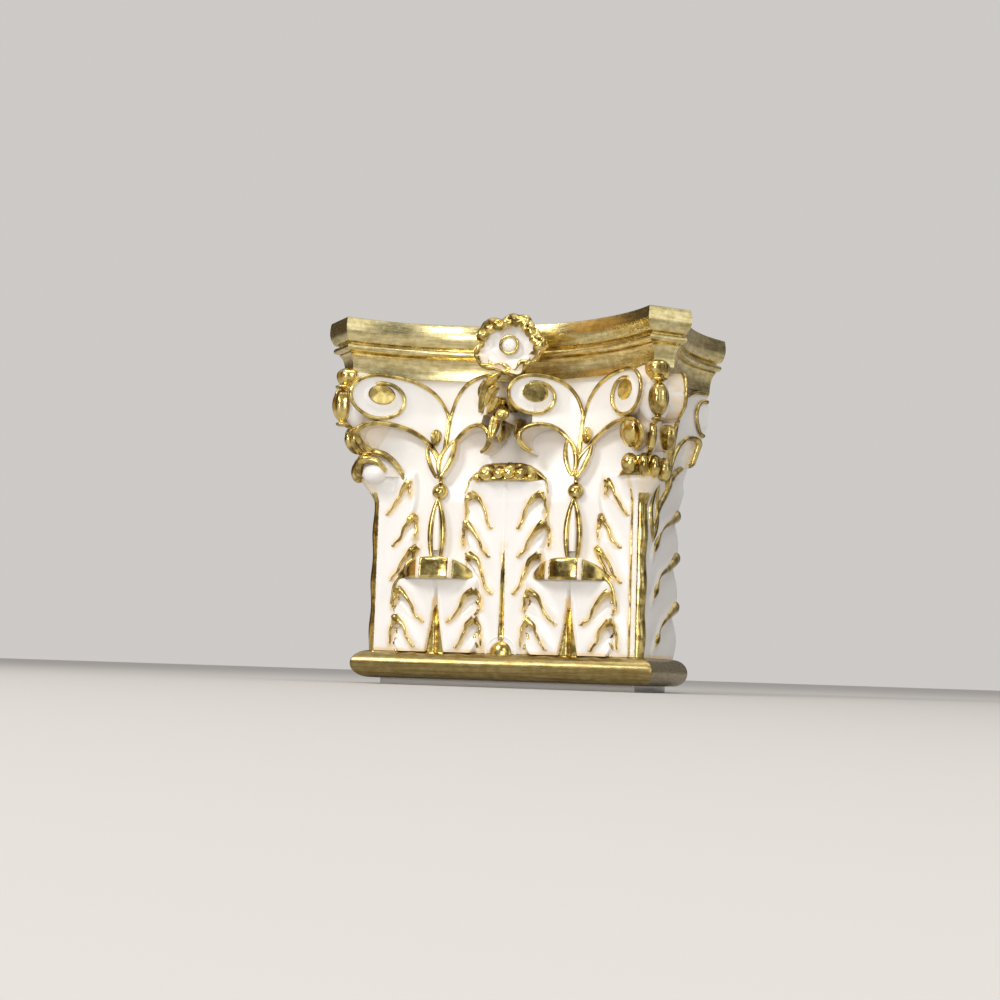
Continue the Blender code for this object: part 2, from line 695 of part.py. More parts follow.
def wall_cutter():
    """A block behind the wall plane, which trims the back flat."""
    size = 2 * (SIDE_X + TOP) * MM
    bpy.ops.mesh.primitive_cube_add(size=size, location=(0.0, (DEPTH - ORIGIN_Y) * MM + size / 2, 0.0))
    cutter = bpy.context.object
    cutter.name = "wall_cutter"
    return cutter


def add_boolean(target, name, operation, **operand):
    """An exact Boolean modifier on the casting."""
    modifier = target.modifiers.new(name, "BOOLEAN")
    modifier.operation = operation
    modifier.solver = "EXACT"
    for key, value in operand.items():
        setattr(modifier, key, value)
    return modifier


def build():
    """Clear the scene and make the capital."""
    for thing in list(bpy.data.objects):
        bpy.data.objects.remove(thing, do_unlink=True)
    casting = bpy.data.objects.new("pilaster_capital", loft_mesh("pilaster_capital", body_rings()))
    casting.data.materials.append(enamel())
    casting.location = (0.0, -ORIGIN_Y * MM, 0.0)
    bpy.context.scene.collection.objects.link(casting)
    carving = bpy.data.collections.new("carving")
    bpy.context.scene.collection.children.link(carving)
    meshes = leaf_meshes() + stalk_meshes() + fan_meshes() + chain_meshes() + pendant_meshes()
    meshes.append(loft_mesh("rosette", rosette_rings()))
    for mesh in meshes:
        ornament = bpy.data.objects.new(mesh.name, mesh)
        ornament.location = casting.location
        ornament.hide_render = True
        ornament.display_type = "WIRE"
        carving.objects.link(ornament)
    cutter = wall_cutter()
    cutter.hide_render = True
    cutter.display_type = "WIRE"
    add_boolean(casting, "carving", "UNION", operand_type="COLLECTION", collection=carving, use_self=True)
    add_boolean(casting, "wall", "DIFFERENCE", object=cutter)
    flats = casting.modifiers.new("flats", "DECIMATE")
    flats.decimate_type = "DISSOLVE"
    flats.angle_limit = math.radians(FLAT_ANGLE)
    bpy.context.view_layer.update()


build()
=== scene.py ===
"""Looks of a Corinthian pilaster capital: white gloss enamel with hand-gilded edges.

The forms are worked out in millimetres in the capital's own frame: x runs to the right, z up, and y
from the face of the astragal (y = 0) back to the wall.  Every shape is a closed shell of triangles
made from a grid of points, and each point carries two paint values: gild (1 where the gold leaf lies)
and a warm value (1 in the warm stain beside the gilding, which also stands in for painted warm shade
in creases, recesses and under parts).
"""
import math

import bpy
from mathutils import Matrix
import numpy as np


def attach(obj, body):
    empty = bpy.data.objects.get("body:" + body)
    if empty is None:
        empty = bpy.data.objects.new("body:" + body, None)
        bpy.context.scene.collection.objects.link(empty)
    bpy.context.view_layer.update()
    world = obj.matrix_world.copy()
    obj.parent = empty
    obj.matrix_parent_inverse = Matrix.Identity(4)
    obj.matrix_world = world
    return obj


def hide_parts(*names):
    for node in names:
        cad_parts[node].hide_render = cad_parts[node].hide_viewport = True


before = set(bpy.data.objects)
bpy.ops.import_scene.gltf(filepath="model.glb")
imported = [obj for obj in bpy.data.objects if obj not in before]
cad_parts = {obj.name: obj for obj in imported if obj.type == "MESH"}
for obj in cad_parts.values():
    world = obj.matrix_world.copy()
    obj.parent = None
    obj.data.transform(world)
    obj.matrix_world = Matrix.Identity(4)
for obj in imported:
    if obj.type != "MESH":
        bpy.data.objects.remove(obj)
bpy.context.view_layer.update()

MM = 0.001

# Main sizes, as in the casting
DEPTH = 96.0
NECK_HEIGHT = 4.0
NECK_SIDE_INSET = 15.0
NECK_FRONT_INSET = 16.0
ASTRAGAL_HALF = 100.0
ASTRAGAL_HEIGHT = 17.4
ASTRAGAL_BULGE = 10.0
BELL_INSET = 11.3
BELL_HALF = ASTRAGAL_HALF - BELL_INSET
BELL_BASE = NECK_HEIGHT + ASTRAGAL_HEIGHT
BELL_RISE = 177.1
BELL_LIP_INSET = 14.0
FLARE_START = 0.54
FLARE_END = 0.87
FLARE_CURVE = 1.2
SOFFIT = BELL_BASE + BELL_RISE
ABACUS_HEIGHT = 35.5
TOP = SOFFIT + ABACUS_HEIGHT
ABACUS_CORNER = 99.5
ABACUS_OVERHANG = 27.0
ABACUS_CHAMFER = 22.5
FRONT_HOLLOW = 48.0
SIDE_HOLLOW = 12.0
FRONT_RADIUS = (ABACUS_CORNER ** 2 + FRONT_HOLLOW ** 2) / (2 * FRONT_HOLLOW)
FRONT_CENTRE_Y = FRONT_HOLLOW - ABACUS_OVERHANG - FRONT_RADIUS
SIDE_X = ABACUS_CORNER + ABACUS_CHAMFER
SIDE_START = ABACUS_CHAMFER - ABACUS_OVERHANG
SIDE_HALF = (DEPTH - SIDE_START) / 2
SIDE_RADIUS = (SIDE_HALF ** 2 + SIDE_HOLLOW ** 2) / (2 * SIDE_HOLLOW)
SIDE_CENTRE = (SIDE_X + SIDE_RADIUS - SIDE_HOLLOW, SIDE_START + SIDE_HALF)
ORIGIN = np.array([0.0, (DEPTH - ABACUS_OVERHANG) / 2, 0.0])

# Places of the leaves and the scroll fans
SMALL_LEAF_X = 0.50 * BELL_HALF
SMALL_LEAF_HALF = 29.3
STALK_X = 0.513 * BELL_HALF
SIDE_MIDDLE = BELL_INSET + 0.505 * (DEPTH - BELL_INSET)
SPLIT = 141.0


def height(share):
    """Height on the bell, from a share of its rise."""
    return BELL_BASE + share * BELL_RISE


def unit(vectors):
    """Vectors scaled to length one."""
    return vectors / np.maximum(np.linalg.norm(vectors, axis=-1, keepdims=True), 1e-9)


def step(low, high, value):
    """Smooth rise from 0 at low to 1 at high: 3t^2 - 2t^3 of the clipped share t."""
    t = np.clip((value - low) / (high - low), 0, 1)
    return t * t * (3 - 2 * t)


def ridge(away, width):
    """Soft ridge: 1 on its line, and exp(-(away / width)^2) beside it."""
    return np.exp(-(away / width) ** 2)


# Shells and pieces


def shell(points, triangles, caps, gild, stain_and_shade):
    """A closed shell, turned so that its faces point outwards: its signed volume is made positive."""
    fans = [np.column_stack([np.full(len(cap) - 2, cap[0]), cap[1:-1], cap[2:]]) for cap in caps]
    a, b, c = (points[np.vstack([triangles] + fans)[:, i]] for i in range(3))
    if np.einsum("ij,ij->", a, np.cross(b, c)) < 0:
        triangles = triangles[:, ::-1]
        caps = [cap[::-1] for cap in caps]
    return points, triangles, caps, gild, stain_and_shade


def loft(rings, gild=0.0, stain_and_shade=0.0):
    """Closed shell through rings of points (rows, columns, 3), with one flat face over each end."""
    rows, columns, _ = rings.shape
    index = np.arange(rows * columns).reshape(rows, columns)
    here = index[:-1].ravel()
    beside = np.roll(index, -1, axis=1)[:-1].ravel()
    triangles = np.vstack([
        np.column_stack([here, here + columns, beside + columns]),
        np.column_stack([here, beside + columns, beside])])
    paint = [np.broadcast_to(value, (rows, columns)).ravel() for value in (gild, stain_and_shade)]
    return shell(rings.reshape(-1, 3), triangles, [index[0], index[-1][::-1]], *paint)


def placed(shapes, place):
    """Shells moved by a function of their points, and turned outwards again."""
    return [shell(place(shape[0]), *shape[1:]) for shape in shapes]


def mirror(points):
    """Points reflected to the left half."""
    return points * np.array([-1.0, 1.0, 1.0])


def both_sides(shapes):
    """Shells of the right half and their reflections."""
    return shapes + placed(shapes, mirror)


def toned(shape, gild, stain_and_shade):
    """A shell with its gild and its warm stain and painted shade scaled."""
    return (*shape[:3], gild * shape[3], stain_and_shade * shape[4])


def linked(name, data):
    """A new object with the given data, in the scene."""
    thing = bpy.data.objects.new(name, data)
    bpy.context.scene.collection.objects.link(thing)
    return thing


def piece(name, shapes, material, crease=50.0):
    """One object of the given shells, in metres in the row frame, riding on the casting."""
    starts = np.cumsum([0] + [len(shape[0]) for shape in shapes])
    points = (np.vstack([shape[0] for shape in shapes]) - ORIGIN) * MM
    triangles = np.vstack([shape[1] + start for shape, start in zip(shapes, starts)])
    caps = [cap + start for shape, start in zip(shapes, starts) for cap in shape[2]]
    corners = np.concatenate([triangles.ravel()] + caps)
    sizes = np.array([3] * len(triangles) + [len(cap) for cap in caps])
    mesh = bpy.data.meshes.new(name)
    mesh.vertices.add(len(points))
    mesh.vertices.foreach_set("co", points.ravel())
    mesh.loops.add(len(corners))
    mesh.loops.foreach_set("vertex_index", corners)
    mesh.polygons.add(len(sizes))
    mesh.polygons.foreach_set("loop_start", np.cumsum(sizes) - sizes)
    mesh.update(calc_edges=True)
    mesh.polygons.foreach_set("use_smooth", np.ones(len(sizes), bool))
    mesh.set_sharp_from_angle(angle=math.radians(crease))
    for attribute, column in (("gild", 3), ("stain_and_shade", 4)):
        layer = mesh.attributes.new(attribute, "FLOAT", "POINT")
        values = np.concatenate([shape[column] for shape in shapes])
        layer.data.foreach_set("value", values.astype(np.float32))
    mesh.materials.append(material)
    thing = linked(name, mesh)
    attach(thing, "root")
    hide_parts("pilaster_capital")


def tube(path, radius, gild=1.0, sides=8, outward=(0.0, -1.0, 0.0), flat=1.0):
    """Closed round bead along a path: at each point a ring of the given radius across the path.

    The ring is squashed by flat along the direction that is nearest to outward.
    """
    path = np.asarray(path, float)
    ahead = unit(np.gradient(path, axis=0))
    beside = unit(np.cross(ahead, np.broadcast_to(np.asarray(outward, float), path.shape)))
    above = np.cross(beside, ahead)
    radius = np.broadcast_to(radius, len(path))
    turn = np.linspace(0, 2 * math.pi, sides, endpoint=False)
    rings = path[:, None] + radius[:, None, None] * (
        np.cos(turn)[None, :, None] * beside[:, None]
        + flat * np.sin(turn)[None, :, None] * above[:, None])
    return loft(rings, gild)


def ellipsoid(centre, size, gild=1.0, segments=24, levels=15, pinch=0.0):
    """Closed egg: size times (cos b cos a, cos b sin a, sin b), drawn in at its foot by pinch."""
    b = np.linspace(-0.495 * math.pi, 0.495 * math.pi, levels)[:, None]
    a = np.linspace(0, 2 * math.pi, segments, endpoint=False)[None, :]
    narrow = 1 - pinch * 0.5 * (1 - np.sin(b))
    rings = np.stack([
        centre[0] + size[0] * narrow * np.cos(b) * np.cos(a),
        centre[1] + size[1] * narrow * np.cos(b) * np.sin(a),
        centre[2] + size[2] * np.sin(b) + 0 * a], axis=-1)
    return loft(rings, gild)


def curve(points, count):
    """Smooth path through points: a Catmull-Rom curve sampled at equal steps of its parameter."""
    points = np.asarray(points, float)
    padded = np.vstack([2 * points[0] - points[1], points, 2 * points[-1] - points[-2]])
    t = np.linspace(0, len(points) - 1 - 1e-6, count)
    i = t.astype(int)
    f = (t - i)[:, None]
    p0, p1, p2, p3 = (padded[i + k] for k in range(4))
    return 0.5 * (2 * p1 + (p2 - p0) * f + (2 * p0 - 5 * p1 + 4 * p2 - p3) * f ** 2
                  + (3 * p1 - p0 - 3 * p2 + p3) * f ** 3)


def distance_to(path, x, z):
    """Distance of each point (x, z) from a path of straight runs."""
    least = np.full(np.shape(x), 1e9)
    for start, end in zip(path[:-1], path[1:]):
        run = end - start
        t = np.clip(((x - start[0]) * run[0] + (z - start[1]) * run[1]) / (run @ run), 0, 1)
        least = np.minimum(least, np.hypot(x - start[0] - t * run[0], z - start[1] - t * run[1]))
    return least


def inside(path, x, z):
    """True where the point (x, z) lies in the closed outline: it crosses an odd number of its edges."""
    found = np.zeros(np.shape(x), bool)
    for (x0, z0), (x1, z1) in zip(path, np.roll(path, -1, axis=0)):
        if z0 != z1:
            found ^= ((z0 > z) != (z1 > z)) & (x < x0 + (z - z0) * (x1 - x0) / (z1 - z0))
    return found


# Plan of the casting


def meet(point, direction, centre, radius):
    """Distance along a line at which it last meets a circle."""
    offset = np.subtract(point, centre)
    half = float(np.dot(offset, direction))
    return -half + math.sqrt(half ** 2 - float(np.dot(offset, offset)) + radius ** 2)


def abacus_corners(inset):
    """Front and side ends of the abacus's chamfer, at an inset."""
    slant = math.sqrt(0.5)
    start = np.array([ABACUS_CORNER, -ABACUS_OVERHANG]) + inset * slant * np.array([-1.0, 1.0])
    along = slant * np.array([1.0, 1.0])
    front = start + along * meet(start, along, (0.0, FRONT_CENTRE_Y), FRONT_RADIUS + inset)
    side = start - along * meet(start, -along, SIDE_CENTRE, SIDE_RADIUS + inset)
    return front, side


def side_arc(y, inset):
    """Half width of the hollow side at depth y."""
    return SIDE_CENTRE[0] - np.sqrt((SIDE_RADIUS + inset) ** 2 - (y - SIDE_CENTRE[1]) ** 2)


def front_arc(x, inset):
    """Depth of the hollow front at x."""
    return FRONT_CENTRE_Y + np.sqrt((FRONT_RADIUS + inset) ** 2 - x ** 2)


def whole_loop(side, corner, front):
    """A closed plan: its right side and corner, its front, and their reflections on the left."""
    right = np.vstack([side, corner])
    return np.vstack([right, front, right[::-1] * np.array([-1.0, 1.0])])


def hollow_loop(inset, side_points, corner_points, front_points):
    """Plan of the abacus: hollow sides, straight chamfers and a hollow front, from the right wall end."""
    front_end, side_end = abacus_corners(inset)
    depths = np.linspace(DEPTH, side_end[1], side_points)
    side = np.column_stack([side_arc(depths, inset), depths])
    share = np.linspace(0, 1, corner_points + 2)[1:-1, None]
    corner = side_end + share * (front_end - side_end)
    across = np.linspace(front_end[0], -front_end[0], front_points)
    return whole_loop(side, corner, np.column_stack([across, front_arc(across, inset)]))


def square_loop(side_inset, front_inset, ease, side_points, corner_points, front_points):
    """Plan of the straight parts, with corners rounded by the radius ease."""
    half = ASTRAGAL_HALF - side_inset
    depths = np.linspace(DEPTH, front_inset + ease, side_points)
    turn = np.linspace(0, 0.5 * math.pi, corner_points + 2)[1:-1]
    corner = np.column_stack([
        half - ease * (1 - np.cos(turn)), front_inset + ease * (1 - np.sin(turn))])
    across = np.linspace(half - ease, ease - half, front_points)
    return whole_loop(np.column_stack([np.full(side_points, half), depths]), corner,
                      np.column_stack([across, np.full(front_points, front_inset)]))


def level(loop, z):
    """A plan loop raised to height z."""
    return np.column_stack([loop, np.full(len(loop), z)])


def flare(z):
    """How far the bell has turned from its square foot (0) to its hollow lip (1)."""
    share = np.clip(((z - BELL_BASE) / BELL_RISE - FLARE_START) / (FLARE_END - FLARE_START), 0, 1)
    return share ** FLARE_CURVE


def bell_front(x, z):
    """Depth of the bell's front face."""
    return (1 - flare(z)) * BELL_INSET + flare(z) * front_arc(x, BELL_LIP_INSET)


def bell_side(y, z):
    """Half width of the bell's side face."""
    return (1 - flare(z)) * BELL_HALF + flare(z) * side_arc(y, BELL_LIP_INSET)


def front_place(points):
    """Points given as (x, out from the bell, z) set on the front face."""
    x, out, z = np.moveaxis(points, -1, 0)
    return np.stack([x, bell_front(x, z) - out, z], axis=-1)


def side_place(points):
    """Points given as (depth y, out from the bell, z) set on the right side face."""
    y, out, z = np.moveaxis(points, -1, 0)
    return np.stack([bell_side(y, z) + out, y, z], axis=-1)


def corner_place(points):
    """Points given as (across the corner axis, out along it, z) set at the right front corner."""
    front_end, side_end = abacus_corners(0.0)
    arris = np.array([BELL_HALF, BELL_INSET])
    axis = unit(0.7 * front_end + 0.3 * side_end - arris)
    across = np.array([-axis[1], axis[0]])
    plan = arris + points[..., 1:2] * axis + points[..., :1] * across
    return np.concatenate([plan, points[..., 2:]], axis=-1)


def bell_rings(low, high, rows, *points):
    """Rings of the plain bell between two heights: the flare turns the square plan into the hollow one."""
    heights = np.linspace(low, high, rows)[:, None, None]
    turned = flare(heights)
    plan = ((1 - turned) * square_loop(BELL_INSET, BELL_INSET, 1.6, *points)
            + turned * hollow_loop(BELL_LIP_INSET, *points))
    return np.concatenate([plan, np.broadcast_to(heights, plan.shape[:2] + (1,))], axis=-1)


# Notches of the leaves

# A notch is a gilded arch between two lobes, on the front as (x, z): the points of its long inner leg,
# from the apex down, and those of its short outer leg below the apex.  Those of the small leaf are
# given from the leaf's own axis, and lie on both sides of it
SMALL_NOTCHES = [
    ([(26.0, 61.0), (20.5, 57.3), (16.5, 50.5), (13.5, 44.5), (9.5, 41.5)], [(29.2, 56.5), (30.0, 49.0)]),
    ([(27.0, 43.0), (21.5, 38.0), (19.0, 31.0), (15.5, 25.5)], [(30.3, 37.0), (31.2, 26.0)])]
LARGE_NOTCHES = [
    ([(23.5, 122.8), (16.2, 117.8), (12.5, 107.5), (10.0, 101.5)], [(26.8, 116.5), (26.8, 106.0)]),
    ([(26.0, 104.2), (18.8, 96.5), (15.0, 88.5), (11.0, 83.3)], [(28.8, 98.0), (28.6, 89.5)]),
    ([(23.5, 83.8), (17.5, 80.0), (14.0, 72.0), (12.2, 65.0), (8.5, 60.0)], [(24.6, 80.0)]),
    ([(66.3, 131.0), (71.2, 124.5), (75.0, 116.0), (79.5, 110.0)], [(65.6, 122.0)]),
    ([(62.6, 108.5), (67.0, 102.5), (70.6, 94.5), (74.8, 89.8)], [(61.0, 102.0), (61.4, 95.0)]),
    ([(60.2, 88.4), (66.5, 83.2), (71.0, 74.5), (75.6, 68.0)], [(64.2, 79.0), (71.5, 69.6)])]
NOTCH_DEPTH = 3.2
NOTCH_LIP = 0.9

# Hooks between the lobes of the corner leaf on the side, as (y, z) from the wall forward
SIDE_HOOKS = [
    [(93.0, 117.5), (76.0, 111.5), (52.0, 105.0), (36.0, 95.0), (27.0, 86.0)],
    [(90.0, 89.5), (68.0, 80.5), (45.0, 74.0), (36.0, 65.0), (29.5, 58.0)],
    [(91.0, 57.0), (70.0, 49.5), (50.0, 42.0), (43.0, 34.5), (35.0, 28.0)]]

# Gilded strands looping down from the corner tips on the side, as (y, z), and their thickness
SIDE_STRANDS = [
    ([(84.0, 147.0), (66.0, 138.0), (54.3, 127.4), (40.0, 117.0), (28.0, 105.0)], 2.8),
    ([(29.0, 136.0), (24.0, 124.0), (20.0, 112.0), (21.5, 101.0), (27.0, 95.0)], 2.2),
    ([(29.0, 136.0), (34.0, 124.0), (35.0, 112.0), (32.0, 101.0), (27.0, 95.0)], 2.0)]

# Leaves in relief on the front, as the arguments of leaf_height after the point
SMALL_LEAF = (SMALL_LEAF_X, SMALL_LEAF_HALF + 1.5, BELL_BASE, 70.5, 6.4, 3, 0.03, 4.0)
TALL_LEAF = (0.0, 29.5, BELL_BASE, 133.0, 4.6, 5, 0.30, 8.0)
CORNER_LEAF = (BELL_HALF + 2.0, 31.0, BELL_BASE, 138.0, 4.0, 4, 0.02, 0.0)
GAP_TOP = 62.0
RIB_TOP = 127.0
LINE_INSET = 5.6
SIDE_REACH = 88.0
SIDE_LOBES = 3.6


def notch_places():
    """Every front notch of the right half as (inner leg, outer leg) in x and z."""
    found = []
    for inner, outer in SMALL_NOTCHES:
        for side in (1.0, -1.0):
            found.append([np.array(leg) * (side, 1.0) + (SMALL_LEAF_X, 0.0)
                          for leg in (inner, inner[:1] + outer)])
    return found + [(np.array(inner), np.array(inner[:1] + outer)) for inner, outer in LARGE_NOTCHES]


def lobed(share, lobes, depth):
    """Half width of a leaf with rounded lobes, as a share of its full half width."""
    return 1 - depth * (1 - np.abs(np.sin(math.pi * lobes * share)) ** 0.7)


def leaf_height(x, z, centre, half, foot, top, relief, lobes, waist, curl):
    """Relief of a standing leaf: a pillow with lobed sides, fluted towards its lobes, hollow at its midrib.

    With d the distance from the leaf's edge and v that from its midrib, it is
    relief * step(-0.3, 3.2, d) * (0.84 + 0.15 sin of the flutes), less a groove of 0.3 of that where v
    is under 1.5, and below the overturned tip it curls outwards by curl * t^2.2 over the last 17 mm.
    """
    share = np.clip((z - foot) / (top - foot), 0, 1)
    wide = half * lobed(share, lobes, 0.10) * (1 - waist * (1 - share) ** 2)
    across = np.abs(x - centre)
    edge = np.minimum(wide - across, 0.9 * (top - z))
    flutes = np.sin(2 * math.pi * (1.5 * across / half - 0.75 * share * lobes))
    body = step(-0.3, 3.2, edge) * (0.84 + 0.15 * flutes * step(0.1, 0.5, across / half))
    groove = 0.3 * (1 - step(0.0, 1.5, across))
    tip = np.clip((z - top + 17.0) / 16.0, 0, 1) ** 2.2 * np.clip(1 - (across / half) ** 2.4, 0, 1)
    return relief * body * (1 - groove) + curl * tip * step(-0.3, 1.5, edge)


def corner_curl(away, z):
    """How far the folded corner leaf curls outwards below its tip, at a distance from the arris."""
    rise = np.clip((z - 116.0) / 14.0, 0, 1) ** 2.0 * step(0.0, 3.0, 136.5 - z)
    return 5.0 * rise * np.clip(1 - (away / 12.0) ** 2.2, 0, 1)


def front_relief(x, z):
    """Relief of the front face in millimetres, where it is gilded, and its warm stain and painted shade, at
    (x, z).

    The three leaves are joined by their maximum.  Each notch is sunk and has a raised lip.  On top come
    the open gap and the broken rim of the small leaf, the rib of the tall leaf, and on the right half
    the line inside the arris.
    """
    along = np.abs(x)
    from_small = np.abs(along - SMALL_LEAF_X)
    from_arris = BELL_HALF - along
    corner = leaf_height(along, z, *CORNER_LEAF) + corner_curl(np.maximum(from_arris, 0), z)
    out = np.maximum(leaf_height(along, z, *SMALL_LEAF), leaf_height(along, z, *TALL_LEAF))
    out = np.maximum(out, corner)
    gild = np.zeros_like(out)
    stain_and_shade = np.zeros_like(out)
    for inner, outer in notch_places():
        apex, foot = inner[0], min(inner[-1][1], outer[-1][1])
        outline = np.vstack([curve(inner, 14)[::-1], curve(outer, 8)[1:]])
        away = distance_to(outline, along, z)
        within = inside(outline, along, z)
        sunk = np.where(within, step(0.0, 1.6, away), 0.0) * step(foot - 1.0, apex[1] - 2.0, z)
        out = out - NOTCH_DEPTH * sunk + NOTCH_LIP * ridge(away, 1.7)
        near_apex = ridge(np.hypot(along - apex[0], z - apex[1]), 5.5)
        gild = np.maximum(gild, np.where(within, step(2.2, 0.8, away), 0.0) * step(0.3, 0.6, near_apex))
        # Warm stain round each notch, which also paints warm shade into the sunk notch.
        stain_and_shade = np.maximum(stain_and_shade, ridge(away, 3.2))
    gap_half = 0.35 + 5.6 * np.clip((GAP_TOP - z) / (GAP_TOP - BELL_BASE), 0, 1) ** 1.5
    gap = step(-0.6, 0.5, gap_half - from_small) * step(-0.5, 1.0, GAP_TOP - z)
    lip = ridge(from_small - gap_half - 1.2, 0.8) * step(0.0, 6.0, 60.0 - z)
    rim = step(1.1, 0.5, np.abs(from_small - 27.6 - 1.1 * np.sin(0.55 * z)))
    rim = rim * step(0.0, 3.0, GAP_TOP - z) * step(-0.35, 0.1, np.sin(0.9 * z + 0.2 * along))
    rib_half = 0.5 + 1.5 * np.clip((126.0 - z) / 96.0, 0, 1)
    rib = step(0.0, 1.0, rib_half - along + 0.5) * step(28.0, 31.0, z) * step(0.0, 3.0, RIB_TOP - z)
    right = step(-1.0, 1.0, x)
    line = ridge(from_arris - LINE_INSET, 0.75) * step(0.0, 5.0, 128.0 - z) * right
    out = out - 2.6 * gap + 0.8 * lip + 0.7 * rim + 0.9 * rib + 0.8 * line
    for part in (gap * step(0.5, 6.0, 54.0 - z), rim, step(0.3, 0.7, line),
                 rib * step(78.0, 92.0, 170.0 - z) * step(0.0, 0.6, rib_half - along + 0.3)):
        gild = np.maximum(gild, part)
    # Warm stain and painted warm shade along the gap, the broken rim, the tall leaf's midrib, the line
    # inside the arris, and at the bell's foot against the astragal.
    for part in (0.9 * ridge(np.maximum(from_small - gap_half, 0), 2.0) * step(0.0, 8.0, GAP_TOP - z),
                 0.9 * rim, 0.6 * ridge(along, 3.5) * step(0.0, 20.0, 105.0 - z),
                 ridge(from_arris - LINE_INSET, 1.8) * right, step(3.5, 0.5, z - BELL_BASE)):
        stain_and_shade = np.maximum(stain_and_shade, part)
    return np.maximum(out, -1.0) * step(0.0, 3.0, SPLIT - z), gild, stain_and_shade


def side_relief(y, z):
    """Relief of the side face, where it is gilded, and its warm stain and painted shade, at (y, z): a lobed
    and fluted leaf.
    """
    share = np.clip((z - BELL_BASE) / (136.0 - BELL_BASE), 0, 1)
    lobes = np.abs(np.sin(math.pi * (SIDE_LOBES * share + 0.12))) ** 0.6
    edge = BELL_INSET + SIDE_REACH * (0.86 + 0.14 * lobes) - y
    flutes = np.sin(2 * math.pi * (SIDE_LOBES * share - 0.012 * y))
    out = 3.4 * step(-0.5, 5.0, edge) * (0.86 + 0.13 * flutes) * step(0.0, 10.0, 142.0 - z)
    out = out + corner_curl(np.maximum(y - BELL_INSET, 0), z)
    # Painted warm shade at the bell's foot against the astragal; warm stain and painted shade along each
    # hook below.
    stain_and_shade = step(3.5, 0.5, z - BELL_BASE)
    for hook in SIDE_HOOKS:
        away = distance_to(curve(hook, 16), y, z)
        out = out + 1.6 * ridge(away, 3.4)
        stain_and_shade = np.maximum(stain_and_shade, 0.8 * ridge(away, 3.0))
    return out * step(0.0, 3.0, SPLIT - z), np.zeros_like(out), stain_and_shade


def lower_bell():
    """The straight part of the bell with its leaves in relief.

    The plain rings are pushed out along the plan's own normal by the relief of the front or the side;
    the two are blended over the arris, which has a gilded bead.  The back stays flat, without warm stain
    or painted shade.
    """
    rings = bell_rings(BELL_BASE, SPLIT, 176, 100, 9, 291)
    x, y, z = np.moveaxis(rings, -1, 0)
    ahead = np.gradient(rings[..., :2], axis=1)
    normal = unit(np.stack([-ahead[..., 1], ahead[..., 0]], axis=-1))
    normal[:, 0] = (1.0, 0.0)
    normal[:, -1] = (-1.0, 0.0)
    sideways = step(0.35, 0.65, np.abs(normal[..., 0]))
    out, gild, stain_and_shade = (front * (1 - sideways) + side * sideways
                       for front, side in zip(front_relief(x, z), side_relief(y, z)))
    arris = np.hypot(np.abs(x[:1]) - BELL_HALF, y[:1] - BELL_INSET)
    out = out + 0.5 * ridge(arris, 2.0) * step(0.0, 6.0, 130.0 - z)
    gild = np.maximum(gild, step(2.3, 1.7, arris) * step(0.0, 4.0, 125.0 - z))
    # Warm stain and painted shade beside the arris bead.
    stain_and_shade = np.maximum(stain_and_shade, 0.7 * ridge(arris, 3.0))
    stain_and_shade[:, [0, -1]] = 0.0
    out[:, [1, -2]] = out[:, [0, -1]]
    rings[..., :2] += out[..., None] * normal
    rings[:, [0, -1], 1] = DEPTH
    return [loft(rings, gild, stain_and_shade)]


def upper_bell():
    """The flaring part of the bell behind the scroll fans, smooth and white."""
    return [loft(bell_rings(SPLIT, SOFFIT + 0.4, 60, 40, 8, 121))]


def on_front(path, lift):
    """A path of (x, z) laid on the front face, lifted off its relief."""
    out = front_relief(path[:, 0], path[:, 1])[0]
    return front_place(np.column_stack([path[:, 0], out + lift, path[:, 1]]))


def on_side(path, lift):
    """A path of (y, z) laid on the right side face, lifted off its relief."""
    out = side_relief(path[:, 0], path[:, 1])[0]
    return side_place(np.column_stack([path[:, 0], out + lift, path[:, 1]]))


